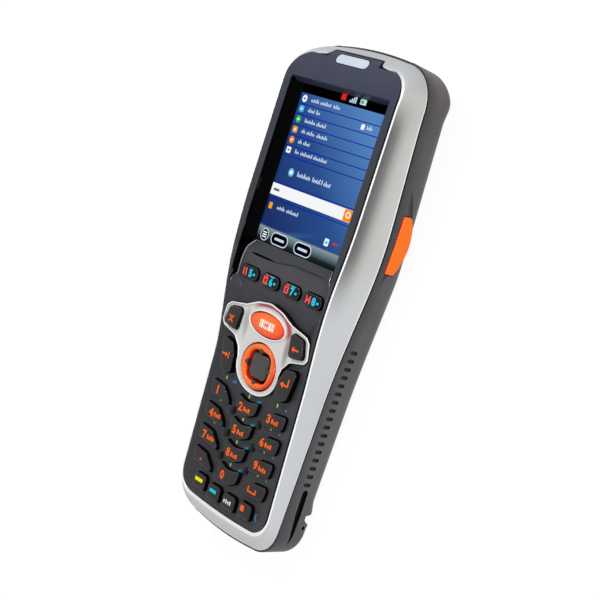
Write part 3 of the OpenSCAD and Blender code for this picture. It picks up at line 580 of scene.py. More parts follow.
def orange_glow(name, middle, halves, stops):
    """Glossy orange with painted shade: it deepens to red towards the rim, colour by the share of
    the way out from a middle, measured on an oval. The middle sits off centre, so one side of
    the rim is painted deeper."""
    f = Finish(name, 0.2, specular_ior_level=0.4)
    u, v = [f.product(f.math("SUBTRACT", f.axis(letter), centre), 1 / half)
            for letter, centre, half in zip("XY", middle, halves)]
    out = f.math("SQRT", f.squares(u, v))
    cloud = f.noise(90.0)
    glow = f.ramp(f.product(out, 0.8), [(share * 0.8, code) for share, code in stops])
    f.colour(f.blend(f.spread(cloud, 0.0, 0.1), glow, "#D83A06"))
    f.worn(cloud, 0.16, 0.24)
    f.bump(f.noise(*SKIN), 0.05)
    return f.material


# scan key and ring: painted shade, deepest red at their rims
scan_orange = orange_glow("scan_orange", (-0.9, SCAN_Y + 0.5), (9.9, 4.5), [
    (0.0, "#FF7A18"), (0.6, "#FF6A0E"), (0.86, "#FF5208"), (1.05, "#DC2A06")])
ring_orange = orange_glow("ring_orange", (-0.9, NAV_Y + 0.7), (9.9, 8.9), [
    (0.5, "#E83C08"), (0.66, "#FF7A1C"), (0.84, "#FF6C10"), (1.04, "#D82A06")])
orange_bright = plastic("orange_bright", "#FF7A1E", "#FF7014", 0.3, grain=0.12,
                        specular_ior_level=0.2)
# deeper red for the walls of the orange keys, ring and side buttons: painted shade on their sides
orange_wall_shade = plastic("orange_wall_shade", "#E8280A", "#D02006", 0.25, grain=0.0, **DIM)
legend_orange = plastic("legend_orange", "#FF6A16", "#FC6210", 0.45, grain=0.0, **DIM)
legend_white = plastic("legend_white", "#FFFFFF", "#F2F2F2", 0.45, grain=0.0)
legend_green = plastic("legend_green", "#C6CC72", "#B8C062", 0.5, grain=0.0, **DIM)
legend_blue = plastic("legend_blue", "#2C98C8", "#2288B4", 0.5, grain=0.0, **DIM)
legend_yellow = plastic("legend_yellow", "#FFF000", "#F8E400", 0.45, grain=0.0, **DIM)
legend_cyan = plastic("legend_cyan", "#16D6F4", "#10C8E6", 0.45, grain=0.0, **DIM)
legend_coral = plastic("legend_coral", "#F45C5C", "#E84C4C", 0.45, grain=0.0, **DIM)
lens_pale = plastic("lens_pale", "#CCD4DF", "#BAC6D6", 0.2, grain=0.05, specular_ior_level=0.3)
lens_edge = plastic("lens_edge", "#4C5666", "#3C4656", 0.2, grain=0.0, **DIM)
steel = plastic("steel", "#C4C6C8", "#A9ABAD", 0.28, grain=0.1, size=1200, metallic=1.0)
brass = plastic("contact_gold", "#E0BC62", "#CDA54C", 0.25, grain=0.05, metallic=1.0)
board_green = plastic("board_green", "#1F6A3C", "#15502C", 0.4, grain=0.2, size=900)
mat_rubber = plastic("mat_rubber", "#1B1B1C", "#141415", 0.7, grain=0.4, size=1500)
module_black = plastic("module_black", "#1C1C1E", "#131315", 0.4, grain=0.3)
scan_red = plastic("scan_red", "#4A0A10", "#30060A", 0.08, grain=0.0, coat_weight=0.6)


def silver_paint():
    """Silver lacquer with a fine flake. Its tone changes along the body, and beside the screen it
    carries painted shade that follows the skirt's form: dark just under the lip, clearing
    downwards. The depth under the lip comes from the same slopes as the frame's edge."""
    f = Finish("silver_paint", 0.34, metallic=0.15, specular_ior_level=0.35)
    flake = f.add("ShaderNodeTexVoronoi")
    flake.inputs["Scale"].default_value = 5200.0
    f.join(f.place, flake.inputs["Vector"])
    cloud = f.noise(45.0)
    base = along(f, [(-86, "#DCDBDE"), (-78, "#D0D0D3"), (-60, "#CDD1D4"), (-38, "#CBCFD2"),
                     (-10, "#CDCFD1"), (12, "#CCD0D3"), (30, "#C2C3C0"), (62, "#B6B7B2"),
                     (74, "#C4C4C0"), (81, "#BBBDBE"), (86, "#A8ADB4")])
    y, z = f.axis("Y"), f.axis("Z")
    start = KEYPAD_Y - START_GAP
    blend = f.step(y, start, start + EDGE_RUN)
    fall, lift = math.tan(KEYPAD_TILT), math.tan(SCREEN_TILT)
    low = f.math("MULTIPLY_ADD", y, fall, KEYPAD_Z + FACE_RISE - KEYPAD_Y * fall)
    high = f.math("MULTIPLY_ADD", y, lift, GLASS_Z + RAIL_RISE - SCREEN_Y * lift)
    over = f.math("MAXIMUM", f.math("SUBTRACT", y, HEADER_Y), 0.0)
    high = f.math("SUBTRACT", high, f.product(over, over, HEADER_BEND))
    edge = f.math("ADD", f.product(f.math("SUBTRACT", high, low), blend), low)
    depth = f.product(f.math("SUBTRACT", edge, z), 1 / 12)
    # painted shade: beside the screen the skirt is darkened just under the lip and clears downwards
    dark = f.ramp(depth, [(0.04, "#5C595A"), (0.14, "#676465"), (0.3, "#7C7A7A"),
                          (0.46, "#A3A29F"), (0.66, "#BFC0BB"), (0.9, "#C6C7C3")])
    beside = f.product(f.step(y, -6.0, 24.0), f.rest(f.step(y, 60.0, 75.0)))
    tone = f.blend(beside, base, dark)
    glint = f.math("MULTIPLY_ADD", flake.outputs["Distance"], 0.35, f.product(cloud, 0.65))
    f.colour(f.blend(f.spread(glint, 0.0, 0.12), tone, "#8C8C90"))
    f.worn(cloud, 0.31, 0.38)
    f.bump(flake.outputs["Distance"], 0.12, 0.00002)
    return f.material


def bead_paint():
    """Painted highlight on the bead round the face: near-white lacquer, greyer past the screen."""
    f = Finish("painted_bead_highlight", 0.2)
    cloud = f.noise(*CLOUDS)
    tone = along(f, [(-86, "#FFFFFF"), (74, "#FFFFFF"), (79, "#D2D4D6"), (82, "#B9BCC0")])
    f.colour(f.blend(f.spread(cloud, 0.0, 0.1), tone, "#E8E8EA"))
    f.worn(cloud, 0.15, 0.25)
    return f.material


silver = silver_paint()
painted_bead_highlight = bead_paint()
# near-white line along the frame's foot just above the seam: a painted highlight
seam_painted_highlight = plastic("seam_painted_highlight", "#F0F4F7", "#E4E9ED", 0.25, grain=0.0, specular_ior_level=0.35)

# ---- Front frame --------------------------------------------------------------------------


def edge_share(t, n):
    """Share of the way in along a rounded shoulder: a superellipse's quarter."""
    return 1 - (1 - t ** n) ** (1 / n)


def flare_share(t, y):
    """Share of the way from the seam to the lip: a flared skirt beside the screen, a rounded
    shoulder beside the keypad, upright walls with a rounded edge at both ends."""
    beside = mix(t ** 1.4, 1 - (1 - t) ** 2.4, smooth((y - KEYPAD_Y + 2) / 40))
    low = mix(beside, edge_share(t, 1.6), smooth((9 - END_Y - y) / 6))
    return mix(low, edge_share(t, 1.8), smooth((y - END_Y + 20) / 13))


SKIRT = (0.02, 0.05, 0.1, 0.2, 0.29, 0.38, 0.47, 0.56, 0.64, 0.72, 0.79, 0.85, 0.9, 0.94, 0.988,
         1.0)


def frame_rows():
    """Cross-section of the silver frame carried round the outline: up the flared skirt, over the
    bead as a parabola, down inside the faceplate's edge and back down the inner wall."""
    seam = half_outline(0.7 - END_Y, END_Y - 0.75, 10.7, 13.6, 1, SIDE_FLARE - 0.15)
    lip = half_outline(FACE_LO - 0.7, FACE_HI + 0.5, CORNER_LO, 9.4, 0.6, 0.7)
    inner = half_outline(FACE_LO - 0.08, FACE_HI + 0.08, CORNER_LO, CORNER_HI, 0.6, 0.08)
    ledge = half_outline(FACE_LO + 2, FACE_HI - 2.6, 5.4, 6.9, 0.6, -2.6)
    wider = 1.3 * smooth((ledge[:, 1] - WINDOW_LO + 26) / 12)
    ledge[:, 0] += wider * np.minimum(1, ledge[:, 0] / 10)
    wall = seam_half(WALL + 0.5)
    rows = []

    def row(p, z):
        rows.append(whole(np.concatenate([p, z[:, None]], 1)))

    foot = half_outline(1.05 - END_Y, END_Y - 1.1, 10.4, 13.3, 1, SIDE_FLARE - 0.5)
    row(foot, seam_z(foot[:, 1]) + SEAM_GAP + 0.3)
    for t in SKIRT:
        p = mix(seam, lip, flare_share(t, seam[:, 1])[:, None])
        row(p, mix(seam_z(p[:, 1]) + SEAM_GAP + 0.2, edge_z(p[:, 1]) - BEAD, t))
    for k in (0.12, 0.3, 0.5, 0.7, 0.88, 1.0):
        p = mix(lip, inner, k)
        row(p, edge_z(p[:, 1]) - SHY - BEAD * (2 * k - 1) ** 2)
    row(inner, edge_z(inner[:, 1]) - 1.9)
    row(ledge, edge_z(ledge[:, 1]) - 1.9)
    row(ledge, edge_z(ledge[:, 1]) - 3.6)
    row(wall, seam_z(wall[:, 1]) + 2.5)
    row(wall, seam_z(wall[:, 1]) + SEAM_GAP)
    return rows


def tab_outline(grow):
    """Header's tab: hollow fillets where it leaves the edge, rounded shoulders at its top."""
    right = np.array([[18.5, -3], [18.5, -0.5], [13.9, 0.2], [12.3, TAB_RISE]])
    corners = np.concatenate([right, right[::-1] * [-1, 1]]) + [0, FACE_HI]
    return rounded(corners, [0.3, 0.3, 2.6, 1.9, 1.9, 2.6, 0.3, 0.3], grow)


tab_cut = prism(tab_outline(0.1), 25.2, 34)
# bands: two with the painted highlight line at the seam, the skirt, seven over the bead with its
# painted highlight, the inner walls
frame_skins = [2, 2] + [0] * 13 + [1] * 7 + [0] * 6
make("frame_shell", [ring_solid(frame_rows(), frame_skins)], [silver, painted_bead_highlight, seam_painted_highlight],
     stands_for=["front_frame"], cuts=[[tab_cut]], sharp=40)


def seam_line():
    """Painted shade in the seam: a slim near-black four-sided section carried round its outline."""
    rows = []
    for inset, lift in ((0.95, -0.3), (0.55, -0.3), (0.55, 0.45), (0.95, 0.45)):
        p = seam_half(inset)
        rows.append(whole(np.column_stack([p, seam_z(p[:, 1]) + lift])))
    return ring_solid(rows)


make("seam_shade_ring", [seam_line()], [recess_shade_black])

# ---- Rear housing -------------------------------------------------------------------------


def round_r(y):
    """Radius of the turn from the flank to the back along the body."""
    lip = 1.8 * smooth((y + 74) / 5) * smooth((-62.5 - y) / 5)
    return (5.5 - lip + 3 * smooth((y - KEYPAD_Y + 2) / 62) - 4 * smooth((y - END_Y + 17) / 8)
            - 1.5 * smooth((20 - END_Y - y) / 8))


def back_half(d):
    """Right half of the flat back's outline."""
    half = half_outline(d + 4.6 - END_Y, END_Y - 4.6 - d, 7 - d, 11 - d, 1, -d)
    x = half[:, 0] + SIDE_FLARE - round_r(half[:, 1])
    k = np.arange(len(x))
    least = 0.15 * np.minimum(k, len(x) - 1 - k)
    x = np.maximum(x, least)
    x[[0, -1]] = 0
    return np.stack([x, half[:, 1]], -1)


def housing_rings(d, rise):
    """Rings of the rear housing's outside or inside: a quarter turn from the flat back to the
    flank, then up to the seam."""
    back = back_half(d)
    mid = half_outline(0.9 + d - END_Y, END_Y - 0.1 - d, 10 - d, 14 - d, 1.2, SIDE_FLARE - 0.1 - d)
    seam = seam_half(d)
    rings = []
    for a in np.linspace(0, np.pi / 2, 13):
        p = mix(back, mid, np.sin(a))
        rings.append([p, back_z(p[:, 1]) + rise + round_r(p[:, 1]) * (1 - np.cos(a))])
    low = back_z(mid[:, 1]) + rise + round_r(mid[:, 1])
    for t in (0.15, 0.3, 0.45, 0.6, 0.75, 0.88, 0.96):
        p = mix(mid, seam, t)
        rings.append([p, mix(low, seam_z(p[:, 1]), t)])
    # the outer skin's last ring stands a hair inside the box of the solids
    rings.append([seam_half(0.03 if d == 0 else d), seam_z(seam[:, 1])])
    return [whole(np.column_stack([p, z])) for p, z in rings]


def strip_cap(d, rise):
    """The flat of the back: a grid from the left half of its outline to the right half."""
    back = back_half(d)
    share = np.linspace(-1, 1, 15)
    x = back[:, 0, None] * share
    y = np.repeat(back[:, 1, None], len(share), 1)
    points = np.stack([x, y, back_z(y) + rise], -1)
    return points.reshape(-1, 3), [(grid(len(back), len(share)), 0)]


def housing_shell():
    """Outer and inner skins, joined by the rim at the seam."""
    rows = housing_rings(0, 0) + housing_rings(WALL, FLOOR_T)[::-1]
    m, n = len(rows), len(rows[0])
    skin = (np.array(rows).reshape(-1, 3), [(grid(m, n, close_cols=True), 0)])
    parts = [skin, strip_cap(0, 0), strip_cap(WALL, FLOOR_T)]
    counts = np.cumsum([0] + [len(p) for p, _ in parts])
    faces = [(f + at, k) for (_, found), at in zip(parts, counts) for f, k in found]
    return np.concatenate([p for p, _ in parts]), faces


def side_outline(grow):
    """Side button's outline, along the body and up: straight above, bellied below."""
    corners = [[-10, -1.5], [-6.5, -2.9], [0, -4.3], [6.6, -3.1], [10, -1.1], [10, 2.6],
               [-10, 2.6]]
    return rounded(corners, [0.9, 14, 16, 12, 1.4, 0.7, 0.5], grow)


def side_scoop():
    """Thumb scoop round a side button: a D shape with its straight edge along the button's upper
    side. Its floor falls evenly from that edge to the arc, where a short wall climbs back."""
    middle, reach, top, tall, depth, above = 2.3, 17, 3.1, 6.4, 1.15, 2.5
    rows = []
    for t in np.linspace(-1, 1, 31)[1:-1]:
        low = top - tall * (1 - abs(t) ** 1.5)
        deep = -depth * min(1.0, (top - low) / 3.0)
        v = np.array([top + 0.05, mix(top, low, 0.35), mix(top, low, 0.7), low, low - 0.3,
                      low - 0.3, top + 0.05])
        w = np.array([0.06, 0.35 * deep, 0.7 * deep, deep, 0.08, above, above])
        rows.append(np.stack([np.full(len(v), middle + reach * t), v, w], -1))
    return stacked(rows, [[middle - reach, top, 1], [middle + reach, top, 1]])


def block(x0, x1, y0, y1, z0, z1, skin=0):
    """Box between two corners."""
    return prism(np.array([[x0, y0], [x1, y0], [x1, y1], [x0, y1]], float), z0, z1, skin)


def both(solid):
    """A solid and its mirror image."""
    return [solid, mirrored(solid)]


def grip_cutters():
    """Seventeen rounded slots down the flank with dark grey walls, each with a near-black pit in
    its lower part, and the pointed guide groove below them; both tones are painted shade."""
    found = []
    for i in range(17):
        y, fall = KEYPAD_Y + 17.6 - i * 2.95, i * 0.065
        x = face_half(y) + SIDE_FLARE - 0.9
        slot = box_outline(1.35, 3.1, 0.6, steps=4, fill=0) + [y, SEAM_H - 3.8 - fall]
        pit = box_outline(1.2, 2.3, 0.55, steps=4, fill=0) + [y, SEAM_H - 4.15 - fall]
        found += both(prism(slot, x + 0.45, x + 3, 2, "yzx"))
        found += both(prism(pit, x - 0.2, x + 2.9, 1, "yzx"))
    guide = np.array([[0, -1.3], [0.6, -0.9], [0.9, -0.4], [0.9, 0.2], [0.6, 0.7], [0, 1.1],
                      [-8, 0.9], [-14, 0.1], [-19.3, -1.0], [-19.3, -1.25], [-14, -1.5],
                      [-8, -1.6]]) + [26.6 - END_Y, SEAM_H - 5.2]
    x = face_half(18 - END_Y) + SIDE_FLARE - 1.4
    return found + both(prism(guide, x, x + 5, 1, "yzx"))


SCREWS = [(27 - END_Y, 3.8), (SCREEN_Y - 33.8, 5.4), (END_Y - 21, 6.6)]


def screw_cutters():
    """Round wells for the six housing screws."""
    found = []
    for y, inset in SCREWS:
        x = face_half(y) + SIDE_FLARE - inset
        top = float(back_z(np.array(y))) + 3.6
        found += both(prism(oval(1.95, 1.95, 32) + [x, y], -2, top, 1))
    return found


side_window = moved(prism(side_outline(0.25), -6.5, 4, 1), on_side, 1)
scan_opening = prism(box_outline(27.6, 6.2, 1.4, 0.1) + [0, SCAN_WINDOW_Z],
                     END_Y - 9, END_Y + 3, 1, "xzy")
io_opening = prism(box_outline(18.2, 4.8, 0.6) + [0, 7.5], -END_Y - 2, -END_Y + 11, 1, "xzy")
speaker_slots = [prism(box_outline(12, 1, 0.45) + [0, SCREEN_Y - 1.8 + i * 2.4], -2, 10, 1)
                 for i in range(-2, 3)]
cover_seat = prism(box_outline(COVER_W + 0.2, COVER_L + 0.2, 1.2) + [0, BAY_Y], -2, COVER_T + 0.05)
strap_groove = block(-45, 45, STRAP_Y - 1.7, STRAP_Y + 1.7, -2, 2.2, 1)
first_cuts = [*grip_cutters(), *screw_cutters(), *both(side_window), scan_opening, io_opening,
              *speaker_slots, cover_seat, strap_groove]
notch = np.array([[-71.6, -1], [-66.9, -1], [-68.2, 4.3], [-71.6, 4.3]])
pin_hole = oval(0.7, 0.7, 20) + [-72.6, 3.6]
strap_notches = [*both(prism(notch, 23.5, 30, 0, "yzx")), *both(prism(pin_hole, 22, 30, 1, "yzx"))]
second_cuts = [block(-BAY_W / 2, BAY_W / 2, BAY_LO + 2.4, BAY_HI - 2.4, -1, 6, 1),
               block(-8, 8, STRAP_Y - 3.2, STRAP_Y + 3.2, -1, 4.8, 1),
               *both(block(7.2, 14.8, BAY_HI - 2, BAY_HI + 3.6, COVER_T, 6, 1))]
pocket_block = block(-11, 11, STRAP_Y - 5.5, STRAP_Y + 4.2, 1, 7)
scoops = both(moved(side_scoop(), on_side, 1))
# cut faces carry painted shade: near-black in openings, wells and grooves, dark grey in the grip
# slots
make("housing_shell", [housing_shell()], [rear_grey, recess_shade_black, recess_shade_grey],
     stands_for=["rear_housing"], joins=[[pocket_block]],
     cuts=[scoops, first_cuts, second_cuts, strap_notches], sharp=32)

# ---- Faceplate ----------------------------------------------------------------------------

PANEL_LO, PANEL_HI, PANEL_H = FUNCTION_Y - 3.6, WINDOW_LO - 0.4, 1.1


def rail_foot(y):
    """Where the rise at the sides starts and ends: far apart beside the keypad, close together
    beside the screen."""
    steep = smooth((y - KEYPAD_Y - 22.5) / 6)
    half = face_half(y)
    return mix(0.7 * half, RAIL_FOOT, steep), mix(half - 0.3, RAIL_TOP, steep)


def plate_height(x, y):
    """Height of the faceplate's top: the keypad's plane, rising at the sides to the edge and
    beside the screen to the rails; a wedge under the function keys; a ramp down to the glass."""
    start, stop = rail_foot(y)
    inner = mix(floor_z(y), edge_z(y), smooth((y - WINDOW_LO - 0.5) / 6))
    wedge = PANEL_H * np.clip((y - PANEL_LO) / (PANEL_HI - PANEL_LO), 0, 1) * (y < PANEL_HI + 1)
    z = mix(inner + wedge, edge_z(y), smooth((np.abs(x) - start) / (stop - start)))
    ramp = GLASS_Z + math.tan(SCREEN_TILT) * (WINDOW_LO - SCREEN_Y) + (WINDOW_LO + 0.5 - y) * 0.5
    z = np.where((np.abs(x) < start) & (y > 8) & (y < WINDOW_LO + 1), np.minimum(z, ramp), z)
    slope = 3.7 * np.clip((71.0 - y) / 1.4, 0, 1)
    return z - np.where(y > 66, slope * smooth((stop - np.abs(x)) / (stop - start)), 0)


def plate_solid():
    """Height field over stations along the body, closed by a copy 1.6 mm lower. Beside every
    edge a few close lines drop it by a quarter round, whose outer half is black as painted shade."""
    turn = np.linspace(0, np.pi / 2, 15)
    y_low = FACE_LO + CORNER_LO * (1 - np.cos(turn))
    w_low = face_half(y_low) - CORNER_LO * (1 - np.sin(turn))
    evenly = np.linspace(FACE_LO + CORNER_LO, FACE_HI - CORNER_HI, 190)[1:-1]
    y_mid = np.unique(np.concatenate([evenly, np.linspace(69.3, 71.5, 15),
                                      np.linspace(8.0, 13.4, 16)]))
    y_mid = y_mid[(y_mid > FACE_LO + CORNER_LO + 0.1) & (y_mid < FACE_HI - CORNER_HI - 0.1)]
    y_high = FACE_HI - CORNER_HI * (1 - np.cos(turn[::-1]))
    w_high = face_half(y_high) - CORNER_HI * (1 - np.sin(turn[::-1]))
    tab_y = FACE_HI + np.array([0.05, 0.18, 0.4, 0.7, 1.05, 1.4, 1.75, 2.1, 2.35, 2.52, 2.6,
                                TAB_RISE])
    rim = tab_outline(-0.05)
    rim = rim[(rim[:, 0] > 9) & (rim[:, 1] > FACE_HI - 1)]
    rim = rim[np.argsort(rim[:, 1])]
    tab_w = np.interp(tab_y, rim[:, 1], rim[:, 0])
    y = np.concatenate([y_low, y_mid, y_high, tab_y])
    w = np.concatenate([w_low, face_half(y_mid), w_high, tab_w])
    near = np.array([0, 0.06, 0.16, 0.3, 0.5, 0.75])
    limit = w[:, None] - 0.95
    start, stop = [np.minimum(v[:, None], limit * k) for v, k in zip(rail_foot(y), (0.9, 0.97))]
    side = np.concatenate([start * np.linspace(0, 1, 34),
                           mix(start, stop, np.linspace(0, 1, 9)[1:]),
                           mix(stop, limit, np.linspace(0, 1, 6)[1:]),
                           (w[:, None] - near)[:, ::-1]], 1)
    x = np.concatenate([-side[:, :0:-1], side], 1)
    yy = np.repeat(y[:, None], x.shape[1], 1)
    edge = 0.55
    side = np.clip((w[:, None] - np.abs(x)) / edge, 0, 1)
    far = np.where(np.abs(x) < 13, FACE_HI + TAB_RISE, FACE_HI)
    ends = np.clip(np.minimum(yy - FACE_LO, far - yy) / edge, 0, 1)
    share = np.minimum(side, ends)
    drop = 0.32 * (1 - np.sqrt(1 - (1 - share) ** 2)) + 0.4 * smooth((yy - FACE_HI) / 2.4)
    top = np.stack([x, yy, plate_height(x, yy) - drop - SHY], -1)
    low = top.copy()
    low[..., 2] = plate_height(x, yy) - PLATE_T
    n, m = x.shape
    points = np.concatenate([top, low[:, ::-1]], 1)
    points = points.reshape(-1, 3)
    loop = grid(n, 2 * m, close_cols=True).reshape(n - 1, 2 * m, 4)
    black = np.zeros((n - 1, 2 * m), bool)
    black[:, [m - 1, 2 * m - 1]] = True
    black[:, :m - 1] = share[:-1, :-1] + share[1:, :-1] + share[:-1, 1:] + share[1:, 1:] < 3.4
    j = np.arange(m - 1)
    first = np.stack([j, j + 1, 2 * m - 2 - j, 2 * m - 1 - j], -1)
    last = first[:, ::-1] + (n - 1) * 2 * m
    return points, [(loop[~black], 0), (loop[black], 1), (first, 1), (last, 1)]


# form: (corners, radii, the middle that its top is drawn to)
KEY_FORMS = {
    "outer": ([[-6, -3.3], [5.3, -1.8], [6.1, 3.3], [-1.4, 2.4], [-5.2, -0.9]],
              [0.7, 1.6, 1.2, 3, 1.6], (0.6, 0.1)),
    "middle": ([[-5.3, -1.6], [0, -4.1], [5.3, -1.6], [6.1, 3.2], [0, 1.3], [-6.1, 3.2]],
               [2.2, 5, 2.2, 0.9, 8, 0.9], (0, -1.1)),
    "function": ([[-4.7, -2.2], [4.7, -2.2], [4.7, 2.2], [-4.7, 2.2]], [1.9] * 4, (0, 0)),
    "corner": ([[-2.9, -4.3], [4.3, -3], [2.7, 3.2], [-4.3, 4.3]], [1.5] * 4, (0, 0)),
    "wing": ([[-4.3, -4.8], [-1.2, -6.1], [2.4, -4.5], [4.5, 6.3], [-2, 5], [-3.8, 1]],
             [0.9, 1.4, 1.6, 1.5, 2.2, 5], (0, 0)),
    "soft": ([[-3.5, -2.7], [3.5, -2.7], [3.5, 2.7], [-3.5, 2.7]], [1.5] * 4, (0, 0)),
}
ROWS = [["key_1", "key_2", "key_3"], ["key_4", "key_5", "key_6"], ["key_7", "key_8", "key_9"],
        ["key_point", "key_0", "key_space"]]
# name: (form, x, y, mirrored, height)
KEYS = {name: (form, x * COLUMN_X, DIGIT_Y - r * ROW_PITCH, x < 0, 1.7)
        for r, row in enumerate(ROWS)
        for name, x, form in zip(row, (-1, 0, 1), ("outer", "middle", "outer"))}
KEYS.update({f"key_f{i + 1}": ("function", (i - 1.5) * 11.6, FUNCTION_Y, False, 1.4)
             for i in range(4)})
KEYS.update({
    "key_escape": ("corner", -17.8, SCAN_Y - 2.2, True, 3.2),
    "key_erase": ("corner", 17.8, SCAN_Y - 2.2, False, 3.2),
    "key_tab": ("wing", -16.6, NAV_Y - 1.2, True, 2.3),
    "key_enter": ("wing", 16.6, NAV_Y - 1.2, False, 2.3),
    "key_yellow": ("soft", -13.35, SOFT_Y + 0.5, False, 1.8),
    "key_blue": ("soft", -4.45, SOFT_Y - 0.2, False, 1.8),
    "key_mode": ("soft", 4.45, SOFT_Y - 0.2, False, 1.8),
    "key_power": ("soft", 13.35, SOFT_Y + 0.5, False, 1.8),
})


def key_outline(form, flip, grow):
    """A key's outline, mirrored for the left column."""
    corners, radii, _ = KEY_FORMS[form]
    pts = rounded(corners, radii, grow)
    return pts * [-1, 1] if flip else pts


def scan_oval(grow):
    """The scan key's outline."""
    return oval(SCAN_HALF[0] + grow, SCAN_HALF[1] + grow)


def key_cutters(low, high, skin):
    """Prisms through every key's hole, standing on the keypad's slope."""
    found = [moved(prism(key_outline(form, flip, KEY_GAP), low, high, skin), on_keypad, x, y)
             for form, x, y, flip, _ in KEYS.values()]
    found.append(moved(prism(scan_oval(KEY_GAP), low, high, skin), on_keypad, 0, SCAN_Y))
    return found


def ring_bed(low, high, skin):
    """Upright oval that clears the navigation ring."""
    return moved(prism(oval(*RING_BED), low, high, skin), on_keypad, 0, NAV_Y)


def panel_edge(inset):
    """Panel's curved side edge: it leaves the rail at its foot and turns inwards towards the
    screen as a power of the share of the way."""
    s = np.linspace(0, 1, 18)
    return np.stack([WINDOW_HALF - inset - 4.1 * s ** 2.8, mix(-3.8, WINDOW_LO + 0.4, s)], -1)


def plate_cutters():
    """Window, keys, ring, navigation plate's bed, lens, groove above the function keys and the
    dark channels at both ends of their panel; the walls they cut are near-black, painted shade."""
    half = WINDOW_HALF
    window = rounded([[-half, -29.2], [half, -29.2], [half, 27.6], [-half, 27.6]], [0.2] * 4)
    window = moved(prism(window, -4, 14, 1), on_screen)
    lens = prism(box_outline(*LENS_SIZE, 0.1) + [0, LENS_Y], 20, 34, 1)
    x = np.linspace(-19.6, 20.2, 27)
    middle = mix(8.65, 10.2, smooth((x + 7) / 13))
    wide = mix(0.46, 0.1, smooth((x + 11.5) / 7))
    wide = wide * np.minimum(1, np.minimum(x + 19.8, 20.4 - x) / 2.5)
    groove = np.concatenate([np.stack([x, middle - wide], -1),
                             np.stack([x, middle + wide], -1)[::-1]])
    edge = panel_edge(0.32)
    channel = np.concatenate([[[half, edge[0, 1]], [half, edge[-1, 1]]], edge[::-1]])
    return [[window, ring_bed(-7, 9, 1), lens, prism(groove, 24.4, 32, 1)],
            key_cutters(-7, 9, 1), both(prism(channel, 23.4, 34, 1))]


def nav_outline(grow):
    """Navigation plate's outline: a peak, two wings, a waist and a round foot. Each corner has a
    radius, held below what the shorter of its two sides leaves room for."""
    foot_y, foot_half = 0.3, (11.6, 9)
    upper = [([7, 22.3], 9.0), ([12.6, 19.8], 9.0), ([21, 18.2], 1.7), ([23.0, 16.6], 1.7),
             ([23.9, 11.0], 1.7), ([22.4, 9.3], 1.7), ([15.4, 7.6], 3.2), ([12.4, 4.4], 2.0)]
    turn = np.radians(np.arange(8, -89, -12))
    foot = np.stack([foot_half[0] * np.cos(turn), foot_y + foot_half[1] * np.sin(turn)], -1)
    right = np.concatenate([np.array([corner for corner, _ in upper]), foot])
    bends = np.array([r for _, r in upper] + [7.0] * len(foot))
    pts = np.concatenate([[[0, 23.6]], right, [[0, -8.7]], right[::-1] * [-1, 1]])[::-1]
    radii = np.concatenate([[9.0], bends, [7.0], bends[::-1]])[::-1]
    before, after = pts - np.roll(pts, 1, 0), np.roll(pts, -1, 0) - pts
    limit = np.minimum(np.linalg.norm(before, axis=1), np.linalg.norm(after, axis=1))
    bend = np.arccos(np.clip((unit(before) * unit(after)).sum(1), -1, 1))
    radii = np.minimum(radii, 0.46 * limit / np.tan(np.maximum(bend, 0.02) / 2))
    return rounded(pts, radii, grow, fill=1)


nav_bed = moved(prism(nav_outline(0.06), -0.4, 9, 1), on_keypad, 0, KEYPAD_Y)
make("face_panel", [plate_solid()], [face_dark, recess_shade_black], stands_for=["faceplate"],
     cuts=[*plate_cutters(), [nav_bed]], sharp=28)

# ---- Screen -------------------------------------------------------------------------------


def window_wall():
    """Glossy black wall between the glass and the right rail: a slab whose top follows the rail
    and whose foot runs on beside the panel."""
    y = np.linspace(-3.6, 70.6, 62)
    roof = np.minimum(rim_z(y), edge_z(y)) - 0.42
    under = plate_height(WINDOW_HALF + 0 * y, y) - 0.3
    top = np.minimum(roof, np.where(y < 0.8, under, roof))
    low = np.stack([y, 0 * y + 22.6], -1)
    return prism(np.concatenate([low, np.stack([y, top], -1)[::-1]]), 25.06, 25.5, 0, "yzx")


make("window_walls", both(window_wall()), [gloss_black])


def tube(points, radius):
    """Eight-sided bar along a path, with narrowed ends."""
    ahead = unit(np.gradient(points, axis=0))
    side = unit(np.cross(ahead, [0.0, 0.0, 1.0]))
    up = np.cross(side, ahead)
    a = np.arange(8) * np.pi / 4
    r = np.full(len(points), float(radius))
    r[[0, -1]] *= 0.4
    rings = points[:, None] + r[:, None, None] * (
        np.cos(a)[None, :, None] * side[:, None] + np.sin(a)[None, :, None] * up[:, None])
    return stacked(rings, [points[0], points[-1]])


# light grey bars along the panel's curved side edges: a painted highlight on those edges
panel_line = panel_edge(0.42)
panel_top = plate_height(panel_line[:, 0] - 0.3, panel_line[:, 1]) - 0.02
panel_path = np.column_stack([panel_line, panel_top])
panel_edge_highlight = plastic("panel_edge_highlight", "#A6A6AC", "#96969C", 0.16, grain=0.0, specular_ior_level=0.5)
make("panel_highlight_beads", both(tube(panel_path, 0.2)), [panel_edge_highlight])


def shown(code, name):
    """Lit colour of the display under a glossy cover."""
    f = Finish(name, 0.1, base_color=srgb("#000000"), emission_color=srgb(code),
               emission_strength=1.0, specular_ior_level=0.0)
    return f.material


def shown_blend(name, colour):
    """Lit part of the display whose colour the given function builds from its nodes."""
    f = Finish(name, 0.1, base_color=srgb("#000000"), emission_strength=1.0,
               specular_ior_level=0.03)
    f.join(colour(f), f.shader.inputs["Emission Color"])
    return f.material


